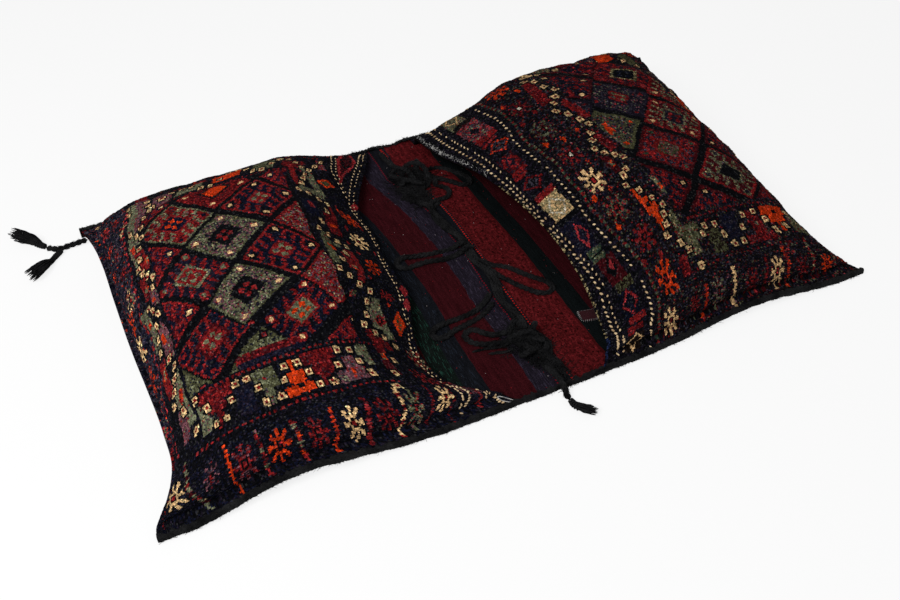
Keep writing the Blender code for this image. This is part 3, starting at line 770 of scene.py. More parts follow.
def left_chart(a, b):
    """The left face's pattern."""
    chart = Chart(a, b, 21)
    chart.put(np.ones(a.shape, bool), "black", "black", "navy", "black", "purple", "black", "black")
    chart.put(chart.a > 41.2, "black", "navy", "purple", "navy", "purple", "grey")
    chart.put(chart.b < -27.0, "black", "navy", "black", "navy", "purple", "black")
    chart.strays(chart.a > 41.2, 0.02, "red", "madder", "mauve", "grey", "orange")
    start = field_between(
        chart, (-19, -15, -11, -8, -5, 0, 13, 19), (10.8, 11.0, 12.0, 13.6, 13.7, 13.6, 13.9, 14.2),
        (34.5, 35.3, 36.8, 37.8, 38.0, 37.3, 37.0, 36.8), -18.4, 19.2,
    )
    chart.put(chart.field, "black")
    chart.cells("""
        red_squares 309 -126; near_half 240 -191; sage_hooks 323 113; navy_hooks 194 118; navy_hooks 194 -10
        mottled 262 51; mottled 264 -69; purple_hooks 323 -11; dark_hooks 187 -129; mouth_half 132 52
        mouth_half 132 -70; orange_half 260 178; red_navy 386 50; red_navy 389 -68; red_navy 130 180
        red_navy 386 176; red_navy 110 -194; near_half 369 -184
    """)
    chart.blocks("""
        red madder 190 278 -179 -168; navy purple 186 276 -186 -178
    """)
    chart.put((np.abs(chart.a - start) < 0.25) & (chart.b > -18.4) & (chart.b < 26), "black")
    for b_line, pitch in ((-18.9, 0.75), (-25.6, 0.8), (25.6, 0.8), (19.6, 0.75)):
        chart.long_beads(b_line, 9.5, 36.0, pitch, "red")

    # Near and far block borders, between two lines of red dots
    chart.blocks("""
        sage olive 234 264 -226 -195; sage 243 254 -246 -226; orange 209 216 -215 -195; orange 201 223 -231 -214
        orange 194 232 -248 -234; orange 206 218 -236 -230; black 208 217 -239 -232
        madder red 157 198 -211 -195; madder red 164 189 -228 -210; madder red 172 182 -247 -227
        mauve 129 151 -230 -214; mauve 126 166 -248 -230; orange 143 147 -243 -230; sage 108 124 -212 -194
        sage 108 118 -228 -211; sage 330 344 -242 -202; sage 324 334 -242 -226; madder red 292 338 -209 -191
        madder red 302 328 -223 -208; madder red 311 320 -244 -222; navy purple 268 290 -246 -196
        red 249 253 -214 -209; sage 286 330 204 230; orange 226 270 210 238; sage olive 170 204 204 242
        mauve 336 364 200 246; madder red 116 156 204 234; red 280 300 230 250
    """)
    chart.dice("""
        342 -191; 330 -211; 352 -226; 323 -236; 307 -237; 296 -218; 286 -200; 271 -200; 262 -220; 256 -241
        238 -241; 229 -221; 221 -202; 204 -203; 195 -221; 188 -242; 172 -241; 159 -221; 150 -201; 133 -203
        126 -222; 122 -241; 362 204; 350 220; 336 238; 318 244; 304 224; 288 206; 272 204; 259 222; 246 242
        230 246; 216 228; 202 208; 186 204; 174 222; 162 242; 146 244; 132 226; 120 208
    """)

    # Mouth block border
    chart.blocks("""
        red 126 136 152 210 0.35; sage 86 104 140 205 0.55; sage 86 120 134 149; sage 76 87 129 144
        red madder 75 97 34 86; red 73 81 76 108; orange 79 91 52 62; sage olive 116 129 -52 32 -0.22
        olive sage 108 120 0 24; orange 112 119 -16 -2; sage 93 104 -1 9; red 82 97 -80 -2 -0.18
        red madder 90 108 -56 -16 -0.2; orange sage 96 106 -56 -44; navy 106 132 70 110
        sage 56 83 -154 -102 0.3; sage 43 58 -168 -146 0.5; red madder 76 92 -204 -158
        madder red 56 78 -194 -172; orange sage 80 89 -216 -204; madder 80 94 -246 -216; red 114 123 -179 -169
        olive red 104 114 -108 -98; rose red 110 119 87 104; mauve red 80 96 214 250 0.3
    """)
    chart.lozenges("""
        red 63 -138 11 12; black 63 -138 7 8; red 63 -138 3 3.5
    """)
    chart.dice("""
        110 189; 113 175; 116 158; 124 137; 106 130; 91 123; 76 116; 89 92; 106 62; 121 39; 106 29; 92 17; 79 9
        94 -13; 115 -39; 132 -63; 117 -74; 99 -85; 80 -92; 83 -111; 87 -133; 93 -152; 75 -164; 60 -169; 45 -181
        69 -215; 89 -241; 108 -265; 106 206; 98 224; 88 242
    """, 0.60)

    # Mouth guard, with the white dots of the flat-woven edge
    chart.lozenges("""
        orange 69 179 19 12; olive 69 179 11 7; red 54 124 4 5; red 57 65 4 6; red 68 25 4 4; red 57 5 4 5
        red orange 46 -106 5 5; red 76 -62 4 5; orange 28 -135 12 22; olive orange 28 -135 7 12
        madder black 43 265 17 70; red rose 43 265 19 76 0.72; red 22 76 3 6; red 20 18 3 6; rose red 8 148 9 12
        rose red 7 -64 9 13; rose 6 -92 9 14
    """)
    chart.stars("""
        orange 38 98 16 21 0.3; cream 41 39 15.5 18; orange 51 -30 15 21 -0.5; sage red 14 -198 17 20
        red 48 -89 14 9; madder red 46 -246 16 18
    """)
    chart.blocks("""
        mauve purple red 2 26 -276 -246 -0.1; purple mauve 4 32 -304 -276 -0.1
    """)
    chart.beads((-36.0, -33.0, -30.0, -27.4), (3.9, 3.0, 1.6, 0.2), 0.55, 0.20, "red")
    chart.beads((-36.5, -26.6, -23.5, -18.0), (8.7, 3.9, 1.6, 1.9), 0.60, 0.17, "red", "madder")

    # End block border and end guard
    chart.blocks("""
        mauve 373 393 146 250; sage 388 404 142 250 0.1; sage 388 402 70 144; sage 380 390 112 130
        red orange 391 398 100 116; red 377 396 50 96; orange sage 376 384 64 76; red madder 389 403 2 46
        orange sage 390 397 16 26; mauve 377 391 -19 20; orange 382 388 -12 -4; sage 406 422 -76 -4
        red orange 410 419 -39 -28; mauve 382 400 -110 -46 0.3; orange 392 398 -82 -66 0.3
        red 386 403 -156 -96 0.42; orange sage 392 400 -128 -110; sage 355 372 -212 -132 0.2
        red orange 358 365 -180 -160; mauve 363 377 -228 -184 -0.1; red madder 372 390 250 300
    """)
    chart.dice("""
        414 175; 369 170; 394 149; 370 144; 383 133; 376 121; 384 101; 391 80; 399 65; 392 51; 384 40; 376 31
        383 15; 401 -11; 395 -23; 389 -33; 402 -46; 409 -65; 408 -84; 385 -107; 371 -123; 372 -139; 375 -155
        378 -171; 364 -188; 366 194; 412 194; 370 214; 408 216; 374 236; 406 238
    """, 0.56)
    end_line = 39.4, 40.6, 41.8, 42.8, 42.4, 41.2, 41.0, 41.4
    chart.beads((-24, -18, -14, -8, 0, 8, 16, 26), end_line, 1.3, 0.22, "red", "rose")
    chart.stars("""
        red madder 430 98 12 15; sage cream mauve 437 43 15 20; orange 453 14 11 21; cream 459 -32 15 22
        orange red orange 454 -90 13 21; sage rose 446 -146 14 19; red madder 432 -202 13 19
        mauve red 434 146 12 15; red orange 458 180 12 13; orange red 470 134 10 11; red rose 464 235 13 15
        red madder 436 228 11 14; madder red 434 290 12 17; cream 472 296 9 11
    """)

    # Near and far guards
    chart.stars("""
        cream sand cream 392 -296 20 33 0.45; mauve purple mauve 335 -304 10 26
        red madder mauve 298 -318 12 35 0.05; orange orange red orange 261 -318 11.5 34 -0.06
        madder red 221 -319 10 32; cream 183 -318 10 35 -0.06; red madder 148 -317 10 34 -0.1
        sage red olive sage 114 -316 10 42 -0.3; cream 69 -303 11.5 34 -0.6; cream 374 310 11 28
        sage 326 306 11 29; orange 274 310 11 30; red madder 224 312 11 30; cream 176 308 11 30
        sage rose 128 310 11 30; red 80 306 11 30
    """)
    chart.bars("""
        red sage madder sage 362 -304 56 0.33 0.75; orange 313 -316 48 0.07 0.26
        madder red sage red 279 -316 46 0.06 0.4; sage red orange madder 240 -319 41 0.02 0.48
        red orange 203 -320 40 -0.15 0.42; red rose madder 167 -319 44 -0.19 0.5
        cream cream red 129 -314 50 -0.33 0.42; red madder 92 -312 44 -0.43 0.24; sage madder 350 310 46 0
        orange 300 310 44 0; sage red 250 310 44 0; red rose 200 310 44 0; cream 152 310 44 0
        red madder 104 310 44 0
    """)
    return chart


def right_chart(a, b):
    """The right face's pattern, on a darker and more purple ground."""
    chart = Chart(a, b, 41)
    chart.ring = 0.945
    chart.put(np.ones(a.shape, bool), "black", "brown", "purple", "brown", "navy", "purple", "black")
    edge = np.interp(chart.b, *measures(BAND_LINE, 10))
    chart.put(chart.a < edge + 0.6, "black", "black", "purple")
    chart.put((chart.a < 0.34) & (chart.b < 6), "brown", "black", "sand")
    chart.put((chart.a < 0.5) & (chart.b < -28), "blue", "navy")

    chart.strays(chart.a > edge + 1.9, 0.17, "madder", "purple", "mauve", "red", "madder", "olive", "grey")

    # Flat-woven band at the mouth: blocks and small diamonds between lines of white dots
    chart.blocks("""
        sage 50 86 234 310 0.05; brown black 50 88 214 242 0.05; mauve rose 47 88 162 226 0.05
        red 45 84 151 165; red 42 72 141 148; madder purple 29 60 60 100 0.1; red 26 56 52 60; red 24 48 43 51
        red 20 56 -19 -5; sand sand cream 19 54 -69 -18; black 19 54 -76 -66; purple navy 16 49 -140 -78
        sage green 28 52 -149 -139; black 28 52 -153 -149; sage green 28 52 -161 -152
        madder 35 64 -208 -161 -0.12; brown olive 42 70 -224 -208; navy black 39 70 -270 -224
        red 44 72 -286 -272; red 36 46 -312 -288; red madder 46 62 -304 -292; brown 36 62 -364 -314
    """)
    chart.lozenges("""
        mauve madder 68 194 23 36; rose mauve grey 68 192 17 27; black purple 68 192 8 14
        orange red 59 124 20 17; black grey 59 124 15 12.5; red black 59 124 5 4; red 45 80 16 20
        purple 45 80 9 12; rose 45 80 4 5; red madder 40 21 19 18 0.74; grey black 40 21 12 11 0.3
        white 37 -43 15 22 0.82; rose 37 -111 10.5 24 0.7; black 50 -183 10 19; rose 52 -179 4 11
        rose red 56 -247 14 24 0.74; cream 49 -338 14 28 0.78; cream 68 274 15 29 0.8
    """)
    thin = np.abs(chart.a - edge - 1.35) < 0.22
    chart.put(thin & ((chart.b / 1.1) % 1.0 < 0.5), "sage", "green")
    chart.put(thin & ((chart.b / 1.1) % 1.0 >= 0.5), "red", "madder")

    # Field
    field_between(
        chart, (-19, -15, -10, 0, 6, 10, 15, 22), (18.6, 18.2, 17.6, 17.6, 18.4, 18.8, 20.4, 21.4),
        (36.6, 36.9, 37.2, 37.6, 37.6, 37.4, 37.2, 37.0), -17.8, 21.8,
    )
    chart.put(chart.field, "black")
    chart.cells("""
        grey_mottled 260 82; red_blue 243 -54; red_h 331 146; red_sage 312 14; star_sage 312 -121
        olive_mottled 187 19; dark_red 214 150; dark_red 284 220; dark_red 174 -124; dark_red 242 -192
        red_sage 381 83; dark_red 375 -52; red_blue 376 -186; grey_mottled 154 84
    """)
    chart.long_beads(-18.6, 18.5, 37.5, 0.75, "red", "madder")
    chart.long_beads(-26.3, 15.0, 36.0, 0.8, "madder", "red")
    chart.long_beads(26.2, 15.0, 36.0, 0.8, "madder", "red")

    # Mouth guard and mouth block border
    chart.stars("""
        orange 151 235 19 26; madder red 136 155 17 22; sage madder 117 82 18 24; madder red 110 10 16 22
        cream 104 -51 16 24; sage red 103 -114 17 24; red 114 -177 15 22; orange 120 -250 14 30
        cream 112 -333 12 33 -0.1; sage 148 306 16 26
    """)
    chart.lozenges("""
        white 135 155 4 5; white 110 10 3.5 5; orange red 126 185 5 8; orange 164 192 4 9; red 140 125 4 8
        red 109 122 4 7; orange 99 57 5 7; orange red 125 45 5 8; orange red 152 42 4 7; orange red 121 -20 4 8
        orange 87 -77 5 8; red orange 116 -81 4 7; orange 90 -142 4 8; red 124 -214 4 8; red 96 -210 4 8
    """)
    chart.blocks("""
        red madder 166 184 120 198 0.28; red 173 187 57 110; madder red 155 171 -24 30; orange 184 190 2 32 0.25
        orange 188 195 10 22; madder 136 147 -68 -26; orange sage 139 145 -54 -42
        orange 135 141 -130 -100 -0.08; orange 137 152 -154 -124; orange 140 157 -152 -139
        orange 142 154 -172 -152; orange 145 151 -186 -170; black 142 147 -142 -134; sage 174 182 -136 -98
        orange 177 181 -124 -112; olive sage 162 173 -196 -164; olive sage 158 198 -222 -194
        olive sage 168 184 -242 -220; cream 206 216 220 276 0.05; sage 224 252 226 260
        madder red 264 316 224 256; orange 344 370 214 256; mauve purple 318 342 224 254
        madder red 146 160 -264 -234; brown olive 206 228 -252 -212; navy purple 238 265 -252 -196
        madder red 286 306 -246 -196; madder red 268 318 -254 -240; sage red 292 300 -230 -220
        orange 312 360 -212 -194; orange 322 350 -226 -210; orange 332 340 -244 -224; black 333 340 -209 -202
        olive sage 354 386 -250 -216 0.1
    """)
    chart.dice("""
        199 230; 189 209; 196 193; 194 164; 197 146; 184 130; 171 115; 157 98; 164 81; 169 60; 174 43; 162 25
        152 10; 141 -7; 147 -23; 156 -35; 164 -45; 153 -67; 144 -74; 136 -90; 146 -109; 155 -131; 164 -150
        158 -164; 154 -180; 147 -195; 159 -216; 167 -231; 176 -260; 199 -216; 208 -205; 226 -205; 235 -226
        243 -245; 260 -245; 271 -223; 280 -203; 300 -201; 315 -218; 321 -239; 342 -234; 364 -208; 220 218
        234 246; 258 222; 278 248; 302 226; 320 248; 338 222; 368 246
    """, 0.62)

    # End block border, end guard, and the near and far guards
    chart.blocks("""
        madder red 380 406 -40 6; sage 382 402 -120 -64; orange 380 400 44 84; mauve purple 384 406 110 156
        olive 382 402 176 220; red 382 402 -184 -140
    """)
    chart.dice("""
        379 -152; 396 -132; 410 -112; 408 -86; 390 -60; 379 -34; 394 -12; 412 10; 410 36; 394 58; 380 82
        394 104; 410 126; 408 152; 390 174; 380 200
    """, 0.56)
    chart.stars("""
        cream 444 -140 14 20; red 444 -84 14 20; sage 444 -28 14 20; orange 444 28 14 20; mauve 444 84 14 20
        cream 444 140 14 20; madder red 444 198 14 20; orange 440 260 14 22; sage mauve 189 -324 10.5 36
        red madder 244 -332 10 32; cream 286 -326 11 38 0.06; madder red 329 -330 10 32; orange 373 -328 12 30
        orange red 412 -308 11 32 -0.3; red 150 -322 7 18; orange 366 310 11 32; cream 316 310 11 32
        sage 266 310 11 32; madder red 216 310 11 32
    """)
    chart.bars("""
        red orange 169 -330 36 0.05; cream 216 -328 44 0; red madder 268 -324 38 0.05
        orange red 306 -316 50 0.1; sage red 349 -314 50 0.1; red madder 316 -280 18 0.6
        sage red 392 -310 46 0.1; cream 341 310 42 0; red orange 291 310 42 0; sage madder 241 310 42 0
        red 191 310 42 0
    """)
    return chart


def tube_faces(stations, sides, first=0):
    """Quads round a tube, and a cap at each end."""
    ring = np.arange(stations * sides).reshape(stations, sides) + first
    turned = np.roll(ring, -1, axis=1)
    faces = np.stack([ring[:-1], turned[:-1], turned[1:], ring[1:]], -1).reshape(-1, 4).tolist()
    return faces + [ring[0][::-1].tolist(), ring[-1].tolist()]


def sides_of(path):
    """The level and the upright direction across a path, at each of its points."""
    ahead = unit(np.gradient(path, axis=0))
    across = np.cross(ahead, (0.0, 0.0, 1.0))
    across /= np.maximum(np.linalg.norm(across, axis=1, keepdims=True), 1e-6)
    return across, np.cross(across, ahead)


def run_along(path):
    """How far along a path each of its points lies."""
    return np.concatenate([[0.0], np.cumsum(np.linalg.norm(np.diff(path, axis=0), axis=1))])


def yarn(path, radii, sides, lay_from=0.0):
    """The points, faces and lay of one yarn along a path."""
    across, up = sides_of(path)
    turn = np.arange(sides) * 2 * np.pi / sides
    radii = np.broadcast_to(radii, len(path))[:, None, None]
    ring = across[:, None] * np.cos(turn)[None, :, None] + up[:, None] * np.sin(turn)[None, :, None]
    lay = np.stack(np.broadcast_arrays(run_along(path)[:, None] + lay_from, turn[None, :] * radii[:, :, 0]), -1)
    return (path[:, None] + ring * radii).reshape(-1, 3), tube_faces(len(path), sides), lay.reshape(-1, 2)


def gathered(yarns):
    """Several yarns as one set of points, faces and lay."""
    points, faces, lay, first = [], [], [], 0
    for spots, rings, places in yarns:
        points.append(spots)
        lay.append(places)
        faces += [[corner + first for corner in face] for face in rings]
        first += len(spots)
    return np.concatenate(points), faces, np.concatenate(lay)


def yarn_piece(name, points, faces, lay, finish=None, replaced=None):
    """A piece of wool yarns in a finish, or of goat hair, that may stand for a solid."""
    piece = smooth_piece(name, points, faces, "lay", lay)
    finished(piece, finish or goat_hair, replaced)
    return piece


def on_face(surface, a_places, b_places):
    """The points of a face at places on its cloth, in centimetres, and the way it faces there."""
    points, normal, a, b = surface
    row = np.interp(b_places, b[0], np.arange(b.shape[1]))
    low = np.clip(row.astype(int), 0, b.shape[1] - 2)
    found = []
    for grid in (points, normal):
        ends = []
        for j in (low, low + 1):
            column = a_places / a[-1, j] * (a.shape[0] - 1)
            i = np.clip(column.astype(int), 0, a.shape[0] - 2)
            t = (column - i)[:, None]
            ends.append(grid[i, j] * (1 - t) + grid[i + 1, j] * t)
        share = (row - low)[:, None]
        found.append(ends[0] * (1 - share) + ends[1] * share)
    return found


def stitches(name, surface, rows, finish, seed):
    """Raised stitches in rows across a face, each row (places, pitch, half length, lean, worn)."""
    bpy.ops.object.select_all(action="DESELECT")
    bpy.ops.mesh.primitive_uv_sphere_add(segments=8, ring_count=4, radius=1.0)
    grain = bpy.context.object
    shape = np.array([vertex.co for vertex in grain.data.vertices])
    shape[:, :2] *= np.sqrt(np.clip(1.25 - 0.25 * np.abs(shape[:, 2:]), 0, 2))
    rings = [list(polygon.vertices) for polygon in grain.data.polygons]
    bpy.data.objects.remove(grain)
    draw = np.random.default_rng(seed)
    points, faces = [], []
    for places, pitch, size, lean, worn in rows:
        b_at, a_at = measures(places, 10)
        b = np.arange(b_at[0], b_at[-1], pitch)
        b = b + draw.normal(0, 0.05, len(b))
        a = np.interp(b, b_at, a_at) + draw.normal(0, 0.035, len(b))
        spot, normal = on_face(surface, a, b)
        ahead = on_face(surface, np.interp(b + 0.2, b_at, a_at), b + 0.2)[0] - spot
        ahead = unit(ahead - normal * np.einsum("ij,ij->i", ahead, normal)[:, None])
        side = np.cross(normal, ahead)
        for k in range(len(b)):
            if draw.random() < worn:
                continue
            turn = lean + draw.normal(0, 0.16)
            along = ahead[k] * math.cos(turn) + side[k] * math.sin(turn)
            aside = side[k] * math.cos(turn) - ahead[k] * math.sin(turn)
            long, wide = size * draw.uniform(0.8, 1.2), 0.54 * size * draw.uniform(0.8, 1.15)
            first = sum(len(part) for part in points)
            points.append(
                spot[k] + normal[k] * 0.0002 + shape[:, :1] * along * long + shape[:, 1:2] * aside * wide
                + shape[:, 2:] * normal[k] * 0.0009
            )
            faces += [[corner + first for corner in ring] for ring in rings]
    points = np.concatenate(points)
    return yarn_piece(name, points, faces, points[:, :2], finish)


def pale_yarn(name, dark, light):
    """Undyed yarn, uneven and a little soiled."""
    finish, shader, spot = wool(name, 0.9, 0.0)
    soil = textured(finish, "ShaderNodeTexNoise", (spot, "Object"), Scale=90.0, Detail=3.0, Roughness=0.65)
    colour = graded(finish, (soil, "Fac"), (0.35, dark), (0.62, light))
    link(finish, varied(finish, colour, (spot, "Object"), 1400.0, 0.7, 1.25), (shader, "Base Color"))
    roughen(finish, shader, (soil, "Fac"), 0.4, 0.0006)
    return finish


def frayed(name, surface, spans, finish, seed):
    """Frayed ends along a mouth, each span (from b, to b, count, reach, thickness)."""
    draw = np.random.default_rng(seed)
    yarns = []
    for b_from, b_to, count, reach, thick in spans:
        b = draw.uniform(b_from, b_to, count)
        spot, normal = on_face(surface, draw.uniform(0.35, 1.0, count), b)
        away = unit(spot - on_face(surface, np.full(count, 1.2), b)[0])
        for k in range(count):
            side = np.cross(normal[k], away[k])
            heading = draw.uniform(-1.5, 1.5) + np.cumsum(draw.normal(0, 0.55, 8))
            step = reach * draw.uniform(0.6, 1.3) / 8
            walk = np.cumsum(away[k] * np.cos(heading)[:, None] + side * np.sin(heading)[:, None], axis=0) * step
            hump = normal[k] * (0.0009 + 0.0012 * np.sin(np.linspace(0.2, 2.9, 8)))[:, None]
            yarns.append(yarn(spot[k] + walk + hump - [0, 0, 0.0006], thick * draw.uniform(0.7, 1.2), 4))
    return yarn_piece(name, *gathered(yarns), finish)


def pile_finish():
    """Clipped wool tufts: the knots' own colours under fine noise that is partly random tone and partly painted shade
    between tufts, rough and bumped.
    """
    finish, shader, spot = wool("knotted_pile", 1.0, 0.0)
    dyes = node(finish, "ShaderNodeVertexColor")
    dyes.layer_name = "dyes"
    # Fine noise darkens and lightens the knots' colours: partly random tone, partly painted shade between the tufts
    colour = varied(finish, (dyes, "Color"), (spot, "Object"), 760.0, 0.30, 1.75)
    link(finish, colour, (shader, "Base Color"))
    tufts = textured(finish, "ShaderNodeTexVoronoi", (spot, "Object"), Scale=430.0)
    fibres = textured(finish, "ShaderNodeTexNoise", (spot, "Object"), Scale=1500.0, Detail=2.0)
    height = of_both(finish, (fibres, "Fac"), (tufts, "Distance"), "SUBTRACT")
    roughen(finish, shader, height, 0.6, 0.0012)
    return finish


def pile_face(name, pouch, chart_of, seed, fade_and_shade, creased, replaced):
    """One face: its surface at knot spacing, tufts raised by chance, dark wool worn lower."""
    points, a, b = knotted_grid(pouch, COARSE)
    normal = outward(points, pouch["side"])
    chart = chart_of(of_cells(a), of_cells(b))
    for worn, share, dyes in (
        ("sage", 0.24, "olive grey sand mauve"), ("mauve", 0.26, "grey sage red"), ("red", 0.09, "madder rose purple"),
    ):
        chart.strays(chart.dye == DYE_NUMBER[worn], share / fade_and_shade**2, *dyes.split())
    draw = np.random.default_rng(seed)
    from_edge = np.minimum(HALF_CLOTH - np.abs(b), 0.9 * (a.max(0) - a))
    free = ease((from_edge - 1.0) / 5.0)
    sag = 0.0022 * ripples(a, b, 11.0, seed + 1) + 0.0009 * ripples(a, b, 4.0, seed + 2)
    folds = np.abs(np.sin(np.pi * (a * 0.80 + b * 0.62 + 0.8 * ripples(a, b, 9.0, seed + 6)) / 7.5)) ** 6
    sag -= creased * folds * ease((b - 14.0) / 7.0) * ease((a - 22.0) / 8.0)
    dark = np.isin(chart.dye, [DYE_NUMBER["black"], DYE_NUMBER["brown"]])
    relief = of_cells(np.pad(np.where(dark, -0.00045, 0.0), 1, mode="edge"))
    tufts = 0.00030 * draw.standard_normal(a.shape) * ease((a - 2.0) / 2.0)
    lift = (sag - 0.0016) * free + relief + tufts - 0.0054 * (1 - ease((from_edge - 0.2) / 1.5))
    uneven = 0.0013 * ripples(a, b, 2.6, seed + 7) + 0.0006 * ripples(a, b, 1.0, seed + 8)
    lift += uneven * ease((a - 36.0) / 7.0) * ease(from_edge)
    outer = points + normal * lift[..., None]
    thick = 0.0021 + 0.0011 * ease(from_edge)
    thick += (PILE_THICK - 0.0032) * ease(a / 5.0) * ease((from_edge - 0.4) / 3.0)
    inner = (outer - normal * thick[..., None])[::COARSE, ::COARSE]
    face = woven_sheet(name, outer, inner, pouch["side"] < 0)
    colours = chart.colours(fade_and_shade)
    n, m = chart.dye.shape
    flat = np.ones((n * m, 4))
    flat[:, :3] = colours.reshape(-1, 3)
    rest = np.ones((len(face.data.polygons) - n * m, 4))
    rest[:, :3] = np.array(dyed(*DYES["brown"])[:3])
    middle = COARSE // 2
    rest[:(n // COARSE) * (m // COARSE), :3] = colours[middle::COARSE, middle::COARSE].reshape(-1, 3) * 0.7
    count = np.empty(len(face.data.polygons), np.int32)
    face.data.polygons.foreach_get("loop_total", count)
    paint = face.data.color_attributes.new("dyes", "FLOAT_COLOR", "CORNER")
    paint.data.foreach_set("color", np.repeat(np.concatenate([flat, rest]), count, axis=0).ravel())
    finished(face, knotted_pile, replaced)
    return face, (outer, normal, a, b)


knotted_pile = pile_finish()
# The right face's colours are dimmed to 0.72: partly faded wool, partly painted shade where the light falls off to the
# right
left_pile, left_surface = pile_face("left_pile_face", LEFT, left_chart, 5, 1.0, 0.0015, "left_face")
right_pile, right_surface = pile_face("right_pile_face", RIGHT, right_chart, 6, 0.72, 0.0060, "right_face")
cream_yarn = pale_yarn("cream_yarn", dyed(140, 112, 82), dyed(214, 188, 148))
white_yarn = pale_yarn("white_yarn", dyed(70, 70, 74), dyed(176, 174, 170))
left_chain = stitches("left_mouth_stitches", left_surface, LEFT_CHAINS, cream_yarn, 61)
right_chain = stitches("right_mouth_stitches", right_surface, RIGHT_CHAINS, cream_yarn, 62)
turn = np.linspace(0.0, 7.0, 26)
spots, facing = on_face(left_surface, 0.85 + 0.40 * np.cos(turn), -36.1 + 0.75 * np.sin(turn))
left_mend = yarn_piece("left_mouth_mend", *yarn(spots + facing * 0.0012, 0.0006, 6), white_yarn)
FRAYED_SPANS = (9.0, 31.0, 130, 0.0034, 0.00034), (-34.0, 9.0, 16, 0.0030, 0.00026), (14.0, 25.0, 50, 0.0046, 0.00044)
right_fringe = frayed("right_mouth_fringe", right_surface, FRAYED_SPANS, white_yarn, 64)
for face, trims in ((left_pile, [left_chain, left_mend]), (right_pile, [right_chain, right_fringe])):
    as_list(trims)

# Wrapped long edges
# Black goat-hair yarn is wrapped over and over round each long edge. It closes the pouches' sides,
# edges the bridge between them, and stands up a little where two cloths meet under it.
WRAP_STEP = 0.00125
WRAP_LAP = 0.0042
WRAP_WALL = 0.0016
WRAP_PITCH = 0.0058
EDGE_HAIRS = 1500


def hair_finish():
    """Black goat hair: coarse fibres along each yarn, greyer in soft patches."""
    finish, shader, spot = wool("goat_hair", 0.7, 0.01)
    grey_patches = textured(finish, "ShaderNodeTexNoise", (spot, "Object"), Scale=38.0, Detail=4.0, Roughness=0.7)
    colour = graded(finish, (grey_patches, "Fac"), (0.35, dyed(7, 7, 8)), (0.70, dyed(30, 30, 31)))
    turned = textured(
        finish, "ShaderNodeMapping", (spot, "UV"), Rotation=(0.0, 0.0, 0.5), Scale=(260.0, 2600.0, 1.0)
    )
    fibres = textured(finish, "ShaderNodeTexNoise", (turned, "Vector"), Scale=1.0, Detail=3.0, Roughness=0.6)
    colour = varied(finish, colour, (turned, "Vector"), 1.0, 0.35, 2.0)
    link(finish, colour, (shader, "Base Color"))
    roughen(finish, shader, (fibres, "Fac"), 0.7, 0.0008)
    return finish


